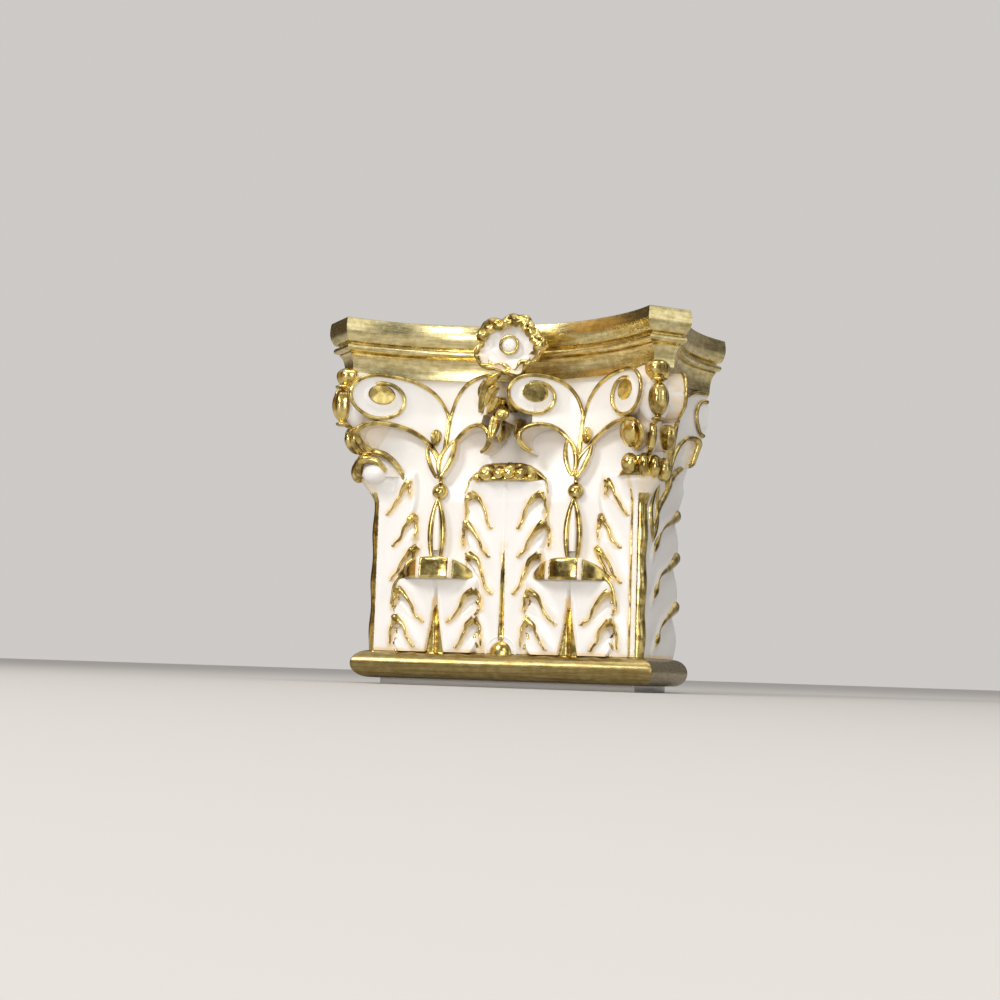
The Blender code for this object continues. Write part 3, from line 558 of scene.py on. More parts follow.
def leaf_edges():
    """Gilded beads along the notches of the leaves, thick at the apex and tapering down each leg.

    The radius is 0.78 + thick * exp(-(s / 0.26)^2) mm at the share s of a leg, with slow swellings of
    0.22 mm, and the path sways by up to 0.45 mm.  The hooks of the side are drops with a second
    swelling at 0.8 of their length.
    """
    shapes = []
    sideways = (1.0, 0.0, 0.0)
    for inner, outer in notch_places():
        for leg, thick, count in ((inner, 1.6, 30), (outer, 1.35, 16)):
            path = curve(leg, count)
            share = np.linspace(0, 1, count)
            run = path[-1] - path[0]
            across = np.array([-run[1], run[0]]) / np.hypot(*run)
            sway = 0.45 * np.sin(13 * share + leg[0][1]) * np.sin(math.pi * share)
            radius = 0.78 + thick * ridge(share, 0.26) + 0.22 * np.sin(11 * share + leg[0][0]) ** 2
            shapes.append(tube(on_front(path + sway[:, None] * across, -0.1),
                               radius * (1 - 0.35 * share ** 4), sides=10))
        turned = np.sign(inner[0] - inner[-1])[0]
        curl = np.array([[0.3, 0.8], [0.0, 0.0], [-0.7, -1.0], [-2.2, -0.8]]) * np.array([turned, 1.0])
        shapes.append(tube(on_front(curve(inner[-1] + curl, 9), 0.1), np.linspace(0.75, 0.5, 9)))
    for hook in SIDE_HOOKS:
        share = np.linspace(0, 1, 44)
        radius = 0.8 + 3.6 * np.clip(1 - share / 0.6, 0, 1) ** 1.3 + 2.1 * ridge(share - 0.80, 0.15)
        radius = radius * (1 - 0.7 * step(0.9, 1.0, share)) * step(-0.03, 0.04, share)
        shapes.append(tube(on_side(curve(hook, 44), -0.6), radius, outward=sideways, flat=0.75, sides=12))
    for strand, thick in SIDE_STRANDS:
        path = curve(strand, 26)
        above = path[:, 1:] > SPLIT - 3.0
        radius = thick * (0.35 + 0.65 * np.sin(math.pi * (0.12 + 0.8 * np.linspace(0, 1, 26))))
        shapes.append(tube(on_side(path, -0.2) + above * np.array([1.2, 0.0, 0.0]), radius,
                           outward=sideways, sides=10))
    turn = np.linspace(-0.08 * math.pi, 1.08 * math.pi, 31)
    ring = np.column_stack([9.8 * np.cos(turn), np.full(31, 3.6), BELL_BASE + 0.5 + 10.4 * np.sin(turn)])
    foot = placed([ellipsoid((0.0, 1.5, BELL_BASE - 0.5), (8.4, 6.0, 9.0))], front_place)
    return both_sides(shapes) + foot + [tube(front_place(ring), 0.7, 0.0)]


# Overturned leaf tips


# Profile of a tip from its lip over the crest back to the bell, as shares of its reach and its height
TIP_PROFILE = [
    (0.50, 0.22), (0.66, 0.14), (0.82, 0.0), (0.94, -0.03), (1.0, 0.06), (1.0, 0.25), (0.985, 0.5),
    (0.965, 0.75), (0.93, 0.94), (0.84, 1.02), (0.6, 1.0), (0.3, 1.0)]


def hood(centre, half, lip, crest, reach, flat, ribs=(), sink=5.0):
    """Overturned tip, seen as a gilded eyebrow with a flat face: a profile carried across the leaf.

    Over the middle, up to the share flat of the half width, the face stands at reach and the edge at
    the crest; beyond it both fall by 1 - t^p with the share t of what is left.  Ribs are raised white
    bands at shares of the half width, and sink is how deep the back lies in the bell.
    """
    columns, rows = 44, 97
    forward, upward = curve(TIP_PROFILE, columns).T[:, None]
    s = np.linspace(-1, 1, rows)[:, None]
    t = np.clip((np.abs(s) - flat) / (1 - flat), 0, 1)
    fold = 0.02 + 0.98 * (1 - t ** 2.3)
    rise = 0.4 + (crest - lip) * (1 - t ** 2.7)
    near = np.zeros_like(s)
    for rib in ribs:
        near = np.maximum(near, np.exp(-(((s - rib) * half) / 1.5) ** 4))
    out = reach * fold * forward + 1.5 * near * step(0.0, 0.15, forward - 0.62) * fold
    z = lip + rise * upward + 0.5 * near * step(0.7, 1.0, upward)
    x = centre + half * s
    front = np.stack([x + 0 * z, out, z], axis=-1)
    back = np.stack([np.repeat(x, 2, axis=1), np.full((rows, 2), -sink),
                     np.hstack([lip + rise, lip + 0.22 * rise])], axis=-1)
    gild = step(0.66, 0.76, forward + 0.4 * step(0.5, 0.8, upward)) * (1 - 0.95 * near)
    gild = gild * np.maximum(step(1.05, 0.95, np.abs(s)), step(0.82, 0.95, upward))
    # The tip gets warm stain and painted warm shade all over, more on its white ribs.
    stain_and_shade = np.repeat(0.3 + 0.4 * near, columns, axis=1)
    bare = np.zeros((rows, 2))
    return loft(np.concatenate([front, back], axis=1), np.hstack([gild, bare]), np.hstack([stain_and_shade, bare]))


def lumps(places):
    """Gilded lumps: eggs at (along, out, z) with half sizes (along, out, z)."""
    return [ellipsoid(place[:3], place[3:], 1.0, 28, 17) for place in places]


def tail(points, thick):
    """A gilded line down a leaf's edge on the front, thinning to its end."""
    radius = thick * np.linspace(1.0, 0.45, 30)
    return placed([tube(curve(points, 30), radius, outward=(0.0, 1.0, 0.0))], front_place)


def leaf_tips():
    """Overturned tips of the small leaves, the tall leaf and the corner leaves.

    The right corner leaf has a row of lumps on its tip; the left one has a white knob under a gold
    band, and a curled gilded edge beside it.
    """
    lip, crest = height(0.264), height(0.337)
    small_end = SMALL_LEAF_X + 26.0
    small = placed([hood(SMALL_LEAF_X, 27.5, lip, crest, 16.5, 0.0, (-0.44, 0.34))], front_place)
    small += tail([(small_end - 3.0, 6.4, lip + 2.0), (small_end + 2.4, 6.8, lip - 5.0),
                   (small_end + 4.4, 6.6, lip - 17.0)], 1.3)
    lip, crest = height(0.618), height(0.680)
    tall = [hood(0.0, 26.0, lip, crest, 14.0, 0.20)] + lumps([
        (-18.5, 9.0, lip + 2.5, 3.8, 5.0, 3.2), (-11.5, 12.5, lip + 5.4, 5.8, 5.6, 5.4),
        (-3.0, 15.0, lip + 5.0, 3.8, 4.6, 4.4), (3.6, 15.0, lip + 6.2, 4.6, 4.6, 5.4),
        (11.0, 13.0, lip + 5.0, 4.2, 4.8, 4.2), (17.0, 9.5, lip + 2.4, 3.2, 4.4, 2.6)])
    tall_edges = both_sides(tail(
        [(20.0, 7.5, lip + 5.5), (25.5, 5.0, lip + 0.5), (28.0, 4.4, lip - 8.0)], 1.0))
    lip, crest = height(0.632), height(0.700)
    tip = hood(0.0, 15.5, lip, crest, 14.0, 0.1, sink=12.0)
    side_lumps = lumps([(3.4, 13.5, lip + 5.4, 3.8, 5.0, 7.2), (10.5, 9.0, lip + 4.0, 4.8, 5.4, 7.4)])
    front_lumps = lumps([(-11.0, 8.5, lip + 7.0, 5.4, 6.0, 6.6), (-3.6, 13.5, lip + 6.0, 3.6, 5.0, 7.4)])
    band = curve([(1.5, 16.0, lip + 1.5), (-0.5, 17.5, lip + 7.5), (-6.0, 17.0, lip + 10.5),
                  (-12.0, 12.5, lip + 9.0), (-16.0, 7.5, lip + 3.0)], 30)
    swell = 1.2 + 1.6 * np.sin(math.pi * np.linspace(0.1, 0.95, 30))
    # The left tip is white, with warm stain and painted warm shade in full.
    left = [toned(tip, 0.0, 1.0), *side_lumps, tube(band, swell, outward=(0.0, 1.0, 0.0), sides=12),
            ellipsoid((-6.5, 9.0, lip + 2.0), (9.0, 7.5, 7.0), 0.0)]
    curled = tail([(97.0, 5.0, 144.0), (90.0, 7.5, 149.0), (81.0, 7.5, 147.0), (74.0, 5.5, 140.0),
                   (70.0, 3.6, 132.0)], 3.0)
    return (both_sides(small) + placed(tall, front_place) + tall_edges
            + placed([tip, *side_lumps, *front_lumps], corner_place)
            + placed(placed(left, corner_place) + curled, mirror))


# Scroll fans

FAN_LOW = height(0.613)
FAN_ARCH = height(0.830)
FAN_SKIN = 3.0
RIM = 1.25


def before_wall(path):
    """The stretches of a path of (x, y, z) points that lie in front of the wall plane."""
    kept = np.flatnonzero(path[:, 1] < DEPTH - 1.6)
    runs = np.split(kept, np.flatnonzero(np.diff(kept) > 1) + 1)
    return [path[run] for run in runs if len(run) > 3]


def cloison(path, radius, place, foot=-4.0):
    """A strand with a thin wall behind it, back to the bell.

    Its round gilded front edge has the given radius and follows a path of points (along the face, out,
    z).  The wall is about as thick as the radius, and ends at the distance foot from the bell.
    """
    path = np.asarray(path, float)
    ahead = np.gradient(path, axis=0)
    ahead[:, 1] = 0.0
    beside = unit(np.cross(unit(ahead), (0.0, 1.0, 0.0)))[:, None]
    radius = np.broadcast_to(radius, len(path))[:, None, None]
    turn = np.linspace(-0.35, math.pi + 0.35, 11)[None, :, None]
    outward = np.array([0.0, 1.0, 0.0])
    front = path[:, None] + radius * (np.cos(turn) * beside + np.sin(turn) * outward)
    sides = np.array([-0.55, 0.55])[None, :, None]
    waist = path[:, None] - (radius + 0.6) * outward + radius * sides * beside
    back = waist.copy()
    back[..., 1] = foot
    rings = np.concatenate([front, waist[:, :1], back, waist[:, 1:]], axis=1)
    # The wall behind the strand gets warm stain and painted shade, most at its waist under the gilded edge.
    return placed([loft(rings, [1.0] * 11 + [0.0] * 4, [1.0] * 11 + [0.8, 0.2, 0.2, 0.8])], place)


class Fan:
    """A scroll fan: a plate that leaves the bell towards its spiral, over an arched lower edge.

    root and tip are the places of its two ends along the face, and u is the distance from the root.
    relief is how far the spiral's outer end stands off the bell, and bend the power with which it gets
    there.  The strand along the arch ends in a hook that starts at hook_u, and the rim goes round the
    eye by winds turns.
    """

    def __init__(self, root, tip, eye_share, eye_height, reach, radius_z, relief, bend, hook_u, winds=1.05):
        self.root, self.sign, self.length = root, math.copysign(1.0, tip - root), abs(tip - root)
        self.eye_u, self.eye_z = eye_share * self.length, height(eye_height)
        self.reach, self.radius_z = min(reach, self.length - self.eye_u), radius_z
        self.relief, self.bend, self.hook_u, self.winds = relief, bend, hook_u, winds

    def out(self, u, z):
        """Distance of the plate's face from the bell, at u from the root."""
        lift = np.clip((z - FAN_LOW) / (FAN_ARCH - FAN_LOW), 0, 1) ** 0.8
        return FAN_SKIN + self.relief * np.clip(u / self.length, 0, 1) ** self.bend * lift

    def points(self, u, z, rise):
        """Points on the plate's face as (along, out, z), raised by rise."""
        return np.stack([self.root + self.sign * u, self.out(u, z) + rise, z + 0 * u], axis=-1)

    def outer_turn(self, u):
        """Half height of the spiral's outer turn at u."""
        return self.radius_z * np.sqrt(np.clip(1 - ((u - self.eye_u) / self.reach) ** 2, 0, 1))

    def top_edge(self, u):
        """Upper edge: a rounded shoulder from the stem, then the spiral's outer turn."""
        stem = FAN_LOW + 0.62 * (self.eye_z - FAN_LOW)
        crown = self.eye_z + self.radius_z
        share = np.clip(1 - u / self.eye_u, 0, 1)
        shoulder = stem + (crown - stem) * (1 - share ** 2.4) ** (1 / 2.4)
        return np.where(u <= self.eye_u, shoulder, self.eye_z + self.outer_turn(u))

    def low_edge(self, u):
        """Lower edge: the arch, then the spiral's outer turn."""
        share = np.clip(1 - u / self.eye_u, 0, 1)
        arch = FAN_LOW + (FAN_ARCH - FAN_LOW) * (1 - share ** 2.1) ** (1 / 2.1)
        return np.where(u <= self.eye_u, arch, self.eye_z - self.outer_turn(u))

    def plate(self, limit):
        """The plate: its face is hollowed by up to 1.6 mm between its rims, and flat round the eye."""
        turns = np.linspace(0.0, 0.5 * math.pi, 40)
        near = self.eye_u * (1 - np.cos(turns))
        far = self.eye_u + self.reach * np.sin(turns[1:]) * 0.995
        u = np.concatenate([near, far])
        if u[-1] > limit:
            u = np.append(u[u < limit], limit)
        u = u[:, None]
        across = np.linspace(0, 1, 25)[None, :]
        low, high = self.low_edge(u) - 0.6, self.top_edge(np.maximum(u, 1.5))
        z = low + (high - low) * across
        from_eye = np.hypot((u - self.eye_u) / self.reach, (z - self.eye_z) / self.radius_z)
        dish = 1.6 * (4 * across * (1 - across)) ** 0.8 * step(0.0, 10.0, u) * step(0.45, 0.7, from_eye)
        face = self.points(np.where(u > 0, u, -1.5) + 0 * z, z, -dish)
        back = face[:, [-1, 0]]
        back[..., 1] = -9.0
        # Warm stain and painted shade along the plate's upper and lower edges, beside its rims.
        stain_and_shade = 0.8 * ridge(1 - np.abs(2 * across - 1), 0.14) + 0 * z
        return loft(np.concatenate([face, back], axis=1), 0.0, np.hstack([stain_and_shade, np.zeros((len(u), 2))]))

    def spiral(self):
        """Path of the rim: up the shoulder, round the outer turn and in to the top of the eye."""
        rise_u = self.eye_u * (1 - np.cos(np.linspace(0.05, 0.49, 26) * math.pi))
        turn = np.linspace(0.0, 2 * math.pi * self.winds, 70)
        size = 1 - 0.42 * np.clip((turn / (2 * math.pi) - 0.44) / 0.61, 0, 1) ** 1.3
        u = np.concatenate([[0.5, 0.6], rise_u, self.eye_u + self.reach * size * np.sin(turn)])
        z = np.concatenate([[FAN_LOW + 4.0, FAN_LOW + 20.0], self.top_edge(rise_u),
                            self.eye_z + self.radius_z * size * np.cos(turn)])
        return self.points(u, z, 0.3)

    def arch_path(self):
        """Path of the strand along the arched lower edge, ending in an open hook."""
        share = 1 - np.cos(np.linspace(0.0, 0.5, 34) * math.pi)
        crown = FAN_ARCH - 1.5
        near_z = FAN_LOW + (crown - FAN_LOW) * np.sqrt(1 - (1 - share) ** 2.1)
        turn = np.linspace(0.0, 0.86 * math.pi, 26)[1:]
        u = np.concatenate([share * self.hook_u, self.hook_u + 12.5 * np.sin(turn)])
        z = np.concatenate([near_z, crown - 9.3 * (1 - np.cos(turn))])
        return self.points(u, z, 0.2)

    def eye(self):
        """The gilded eye: a flat disc with a slightly rounded edge."""
        turn = np.linspace(0, 2 * math.pi, 48, endpoint=False)[None, :]
        edge = [(1.0, -6.0), (1.0, 0.2), (0.985, 0.55), (0.94, 0.75), (0.86, 0.8)]
        size, rise = np.array(edge).T[:, :, None]
        u = self.eye_u - 0.4 + size * 6.5 * self.reach / self.radius_z * np.cos(turn)
        z = self.eye_z + 1.4 + size * 6.4 * np.sin(turn)
        return loft(self.points(u, z, rise), 1.0)

    def shapes(self, place, limit=1e9, with_eye=True):
        """Plates, and gilded rims and eye, as two lists of shells."""
        ends = place(self.points(np.full(2, self.eye_u), np.full(2, self.eye_z), np.array([0.0, 5.0])))
        rims = [tube(run, RIM, outward=ends[1] - ends[0]) for run in before_wall(place(self.spiral()))]
        path = self.arch_path()
        path = path[place(path)[:, 1] < DEPTH - 2.5]
        share = np.linspace(0, 1, len(path))
        rims += cloison(path, 1.55 + 0.5 * ridge(share - 0.9, 0.12) - 0.5 * share ** 8, place)
        if with_eye:
            rims += placed([self.eye()], place)
        return placed([self.plate(limit)], place), rims


# Leaf lumps on the left helix, as points (u, above the eye) and the thickness
HELIX_LEAF = [
    ([(43.0, 11.5), (37.0, 9.0), (31.5, 4.5), (28.0, -2.5), (26.0, -11.0)], 3.0),
    ([(42.0, 4.0), (36.0, 1.0), (31.0, -7.0)], 2.8),
    ([(29.0, 9.5), (25.5, 4.0), (26.0, -3.0)], 1.4),
    ([(41.5, -3.0), (38.0, -8.0), (32.5, -12.0)], 2.2)]


def all_fans():
    """Plates and rims of the fans on the front and sides; the left helix has leaf lumps as its eye."""
    volute = (0.70, 0.917, 14.0, 14.2)
    helix = (STALK_X, 2.0, 0.655, 0.930, 13.5, 12.5, 36.0, 1.1, 23.0)
    side_span = SIDE_MIDDLE + 3.0
    inner, leafy = Fan(*helix), Fan(*helix, 0.12)
    plates, rims = [], []
    for fan, place, limit, with_eye in (
            (Fan(STALK_X, ABACUS_CORNER - 3.0, *volute, 20.7, 0.9, 36.0), front_place, 1e9, True),
            (Fan(SIDE_MIDDLE, SIDE_MIDDLE - side_span, *volute, 10.0, 0.9, 38.0), side_place, 1e9, True),
            (Fan(SIDE_MIDDLE, SIDE_MIDDLE + side_span, *volute, 1.5, 0.9, 30.0), side_place,
             DEPTH - SIDE_MIDDLE - 0.4, False)):
        plate, rim = fan.shapes(place, limit, with_eye)
        plates += plate
        rims += rim
    plate, rim = inner.shapes(front_place)
    plates = both_sides(plates) + both_sides(plate)
    rims = both_sides(rims) + rim + placed(leafy.shapes(front_place, with_eye=False)[1], mirror)
    for points, thick in HELIX_LEAF:
        path = curve(points, 24)
        swell = 0.5 + thick * np.sin(math.pi * np.linspace(0.08, 0.92, 24)) ** 0.8
        face = leafy.points(path[:, 0], leafy.eye_z + path[:, 1], 0.6)
        rims += placed([tube(front_place(face), swell, sides=12)], mirror)
    return plates, rims


# Mouldings


def abacus():
    """The abacus: a cove, a round fillet between two grooves, and a slightly hollow band, in gold.

    Its profile is a list of (inset, height); the cove is a quarter of an ellipse, and the band's inset
    is 3.4 (1 - s)^3 + 1.1 s^2 at the share s of its height.
    """
    band, fillet, ease = 15.0, 5.6, 1.0
    foot = TOP - band - ease - fillet
    profile = [(10.0 - 4.0 * (1 - math.cos(turn)), SOFFIT + 0.4 + (foot - SOFFIT - 0.8) * math.sin(turn))
               for turn in np.linspace(0.0, 0.5 * math.pi, 14)]
    profile += [(6.4, foot - 0.2), (6.9, foot), (6.4, foot + 0.5), (4.6, foot + 1.2)]
    profile += [(4.9 - 1.9 * math.cos(turn), foot + 3.0 + 2.0 * math.sin(turn))
                for turn in np.linspace(-0.4 * math.pi, 0.5 * math.pi, 9)]
    profile += [(5.9, foot + fillet - 0.2), (6.0, foot + fillet + 0.4), (3.8, TOP - band)]
    profile += [(3.4 * (1 - share) ** 3 + 1.1 * share ** 2, TOP - band + share * (band - ease))
                for share in np.linspace(0.02, 1.0, 12)]
    profile += [(1.3, TOP - 0.3), (2.0, TOP)]
    return [loft(np.stack([level(hollow_loop(inset, 40, 14, 121), z) for inset, z in profile]), 1.0)]


def straight_moulding(profile, ease, gild):
    """A moulding on the square plan: one loop at each (side inset, front inset, height) of its profile."""
    return [loft(np.stack([level(square_loop(side, front, ease, 30, 5, 121), z)
                           for side, front, z in profile]), gild)]


def astragal():
    """The astragal: a flattened roll with mitred corners, in gold."""
    turn = np.linspace(-0.5 * math.pi, 0.5 * math.pi, 25)
    inset = ASTRAGAL_BULGE * (1 - np.cos(turn))
    z = NECK_HEIGHT + ASTRAGAL_HEIGHT / 2 * (1 + np.sin(turn))
    return straight_moulding(zip(inset, inset, z), 0.8, 1.0)


def neck():
    """The white neck fillet under the astragal."""
    return straight_moulding([(NECK_SIDE_INSET + inset, NECK_FRONT_INSET + inset, z)
                              for inset, z in ((0.4, 0.0), (0.0, 0.4), (0.0, NECK_HEIGHT))], 1.0, 0.0)


# Beads, buds and the rosette


def ribbed(centre, size, ribs, depth, pinch=0.0):
    """An egg as in ellipsoid, with vertical ribs: its radius varies by depth * cos of ribs turns."""
    points, *rest = ellipsoid(centre, size, 1.0, 60, 19, pinch)
    middle = np.array(centre[:2])
    turn = np.arctan2((points[:, 1] - centre[1]) / size[1], (points[:, 0] - centre[0]) / size[0])
    plan = middle + (points[:, :2] - middle) * (1 + depth * np.cos(ribs * turn))[:, None]
    return shell(np.column_stack([plan, points[:, 2]]), *rest)


def corner_chains():
    """Cup, long bead, drop and bulbs hanging under each corner of the abacus, and the rims behind them.

    A ribbed part is given by its centre (across the corner axis, out, z), half sizes, ribs, their depth
    and how far its foot is drawn in.  The left corner has no bulb on its front.
    """
    middle, foot = height(0.880), height(0.768)
    shapes = [ribbed(*part) for part in (
        ((0.0, 28.5, height(0.982)), (9.0, 8.5, 7.0), 6, 0.06, 0.35),
        ((0.0, 32.5, middle), (6.4, 6.4, 10.4), 6, 0.08, 0.1),
        ((0.0, 11.5, foot), (3.6, 9.5, 8.0), 4, 0.05, 0.5),
        ((11.5, 10.5, height(0.765)), (6.6, 11.5, 8.2), 7, 0.05, 0.35))]
    shapes += [ellipsoid((0.0, 32.0, height(share)), (radius, radius, 1.6))
               for share, radius in ((0.948, 5.4), (0.812, 4.2))]
    shapes += [ellipsoid((0.0, 22.5, middle), (9.6, 9.0, 13.4), 0.0, 36, 21),
               ellipsoid((4.5, 2.0, foot), (7.0, 12.0, 8.0), 0.0, 36, 21)]
    turn = np.linspace(-0.75 * math.pi, 0.75 * math.pi, 50)
    rims = []
    for out, z, reach, rise in ((25.0, middle, 10.5, 13.0), (8.5, height(0.770), 13.5, 11.0)):
        path = np.column_stack([np.zeros(50), out + reach * np.cos(turn), z + rise * np.sin(turn)])
        swell = 1.5 + 0.9 * np.cos(turn) ** 2
        rims.append(tube(corner_place(path), swell, outward=(0.7, 0.7, 0.0), sides=10))
    front_bulb = ribbed((-11.5, 12.0, height(0.776)), (7.6, 13.0, 9.2), 7, 0.05, 0.30)
    return both_sides(placed(shapes, corner_place) + rims) + placed([front_bulb], corner_place)


def corner_webs():
    """The upright white web on each corner axis, which carries the chain.

    Its plan is a blunt nose, (w sin a, -9 + (r + 9) cos^0.45 a), whose half width w and reach r grow
    from its foot to its top.
    """
    rise = np.linspace(0, 1, 20)
    half, reach = (np.interp(rise, [0.0, 0.25, 0.5, 1.0], stops)
                   for stops in ([3.6, 7.2, 9.0, 9.0], [6.4, 19.84, 27.2, 30.4]))
    foot, top = height(0.72), SOFFIT + 0.7
    turn = np.linspace(-0.5 * math.pi, 0.5 * math.pi, 25)
    rings = [
        level(np.column_stack([w * np.sin(turn), -9.0 + (r + 9.0) * np.cos(turn) ** 0.45]), z)
        for w, r, z in zip(half, reach, foot + rise * (top - foot))]
    # The web behind the chain carries warm stain and painted shade at 0.4.
    return both_sides(placed([loft(np.stack(rings), 0.0, 0.4)], corner_place))


def leaf_outline(centre_x, foot, tip, half, lean, out, thick, start=0.0):
    """A pointed leaf outline in gold round a low white rib, on the front face.

    The edges stand off the leaf's axis by half * sin(pi t)^0.75, where t runs from start to 1 over
    the length, and the axis leans by lean * s^1.5 at the share s of the length.
    """
    share = np.linspace(0.0, 1.0, 30)
    axis = centre_x + lean * share ** 1.5
    opening = np.clip(np.sin(math.pi * (start + (1 - start) * share)), 0, 1)
    z = foot + (tip - foot) * share
    shapes = []
    for sign in (-1.0, 1.0):
        path = np.column_stack([axis + sign * half * opening ** 0.75, np.full(30, out), z])
        shapes += cloison(path, thick * (0.7 + 0.5 * np.sin(math.pi * share)), front_place, -2.0)
    rib = np.column_stack([axis, np.full(30, out - 0.6), z])
    rib = cloison(rib[3:-3], 0.55 * half * opening[3:-3] + 0.3, front_place, -2.0)
    # The white rib carries a light warm stain and painted shade.
    return shapes + [toned(rib[0], 0.0, 0.3)]


def stalk_buds():
    """Stalks between the leaves, the balls on them, and the petals and bud at the foot of each fan."""
    shapes = leaf_outline(STALK_X, height(0.345), height(0.550), 4.4, 0.0, 4.6, 1.6, 0.22)
    shapes += placed([ellipsoid((STALK_X, 2.6, height(0.582)), (5.2, 4.8, 5.2))], front_place)
    shapes += leaf_outline(STALK_X - 1.5, FAN_LOW + 4.0, FAN_LOW + 28.0, 3.6, -5.5, 9.0, 1.5)
    shapes += leaf_outline(STALK_X + 1.5, FAN_LOW + 3.0, FAN_LOW + 24.0, 3.0, 8.0, 8.0, 1.4)
    bud = ribbed((STALK_X + 5.5, 8.0, FAN_LOW + 30.0), (3.4, 6.0, 5.6), 5, 0.08, 0.3)
    shapes += placed([bud], front_place)
    return both_sides(shapes)


def pendant():
    """Bead between the helices under the rosette, its stem, and buds beside it: one more on the left."""
    beads = placed([
        ellipsoid((0.0, 37.0, height(0.850)), (4.4, 4.4, 4.4)),
        ellipsoid((0.0, 17.5, height(0.850)), (3.5, 19.5, 3.5), 0.0)], front_place)
    buds = placed([
        ribbed((6.0, 13.0, height(0.805)), (3.8, 16.0, 8.0), 5, 0.10, 0.45),
        ribbed((3.4, 22.0, height(0.895)), (3.0, 14.0, 5.0), 5, 0.12)], front_place)
    left = placed([
        ribbed((7.0, 29.0, height(0.815)), (3.8, 5.0, 9.5), 5, 0.10, 0.3),
        ellipsoid((7.0, 12.0, height(0.815)), (3.4, 19.0, 7.5), 0.0)], front_place)
    return beads + both_sides(buds) + placed(left, mirror)


# Sections of the rosette from its stem to the middle of its face, as a share of its radius and a depth
ROSETTE_SECTIONS = [
    (0.42, 36.0), (0.5, 17.0), (0.75, 10.0), (0.93, 6.0), (1.0, 3.4), (0.99, 1.6), (0.94, 0.6),
    (0.86, 1.6), (0.76, 3.4), (0.64, 4.8), (0.5, 5.4), (0.36, 5.4), (0.24, 5.2)]

# Curled gold strands on its edge: share of the radius, sway, phase, thickness, start and end in half turns
ROSETTE_CURLS = [
    (0.86, 0.09, 0.0, 3.9, -0.25, 1.0), (0.83, 0.10, math.pi, 3.2, -0.18, 0.92),
    (0.95, 0.03, 0.6, 1.8, 0.85, 1.85), (0.76, 0.07, 2.0, 1.3, 1.22, 1.80)]


def petals(turn):
    """Outline of the rosette over its radius: 1 + 0.075 cos 5a + 0.035 cos 11a, each turned a little."""
    return 1 + 0.075 * np.cos(5 * turn + 0.3) + 0.035 * np.cos(11 * turn + 1.0)


def rosette():
    """The rosette: a dished flower with ruffled petals, whose curled edge is gilded, and a button.

    At the turn a and share s of the radius R, a point lies at s R times the outline of the petals, whose
    lobes fade towards the middle.  The ruffle 1.2 s^3 sin 10a moves it in and out.
    """
    middle = SOFFIT + 0.55 * ABACUS_HEIGHT
    face, radius, wide, tall = 4.2, 20.6, 1.15, 0.94
    a = np.linspace(0, 2 * math.pi, 160, endpoint=False)[None, :]
    share, depth = np.array(ROSETTE_SECTIONS).T[:, :, None]
    front_side = np.arange(len(share))[:, None] >= 4
    size = radius * share * (1 + (petals(a) - 1) * step(0.35, 0.9, share))
    ruffle = 1.2 * share ** 3 * np.sin(10 * a + 0.6) * step(0.5, 0.9, share)
    furrow = 1.0 * np.cos(5 * a + 0.3) * step(0.3, 0.8, share) * front_side
    y = face + depth - furrow + ruffle - 0.8
    rings = np.stack([wide * size * np.cos(a), y + 0 * size, middle + tall * size * np.sin(a)], axis=-1)
    upper = step(-0.3, 0.3, np.sin(a - 0.2))
    gilded = step(0.86, 0.96, share + 0.13 * upper + 0.05 * np.sin(7 * a + 1.2))
    # The rosette's back, under its petals, carries warm stain and painted shade in full; its face is
    # stained towards the edge.
    stain_and_shade = np.where(front_side, step(0.5, 1.0, share), 1.0)
    shapes = [loft(rings, np.where(front_side, gilded, 0.8), stain_and_shade)]
    for shift, sway_by, phase, thick, start, end in ROSETTE_CURLS:
        turn = np.linspace(start * math.pi, end * math.pi, 150)
        size = (shift + sway_by * np.sin(9 * turn + phase)) * radius
        ends = step(0.0, 0.12, np.linspace(0, 1, 150)) * step(1.0, 0.88, np.linspace(0, 1, 150))
        path = np.column_stack([
            1.14 * size * petals(turn) * np.cos(turn), face + 0.6 + 0.8 * np.sin(9 * turn + phase + 1.0),
            middle + 0.93 * size * petals(turn) * np.sin(turn)])
        swell = thick * (0.6 + 0.4 * np.sin(9 * turn + phase + 2.2)) * ends + 0.25
        shapes.append(tube(path, swell, sides=10))
    turn = np.linspace(0, 2 * math.pi, 121)
    ring = np.column_stack([5.8 * np.cos(turn), np.full(121, face + 1.0), middle + 5.6 * np.sin(turn)])
    shapes.append(tube(ring, 1.0, 0.75))
    button, *rest = ellipsoid((0.0, 0.0, 0.0), (5.2, 5.2, 3.8), 0.3)
    points = np.column_stack([button[:, 0], face + 3.4 - button[:, 2], middle + button[:, 1]])
    return shapes + [shell(points, *rest)]


# Materials


def node(tree, kind, **settings):
    """A shader node with its inputs set or linked; i6 is its input 6, and set_x its own setting x."""
    made = tree.nodes.new(kind)
    for key, value in settings.items():
        if key.startswith("set_"):
            setattr(made, key[4:], value)
            continue
        numbered = key[0] == "i" and key[1:].isdigit()
        socket = made.inputs[int(key[1:]) if numbered else key.replace("_", " ")]
        if isinstance(value, bpy.types.NodeSocket):
            tree.links.new(value, socket)
        else:
            socket.default_value = value
    return made


def maths(tree, operation, first, second):
    """The result of a Math node."""
    return node(tree, "ShaderNodeMath", set_operation=operation, i0=first, i1=second).outputs[0]


def noise(tree, place, scale, detail):
    """A noise over a place."""
    return node(tree, "ShaderNodeTexNoise", Vector=place, Scale=scale, Detail=detail).outputs["Fac"]


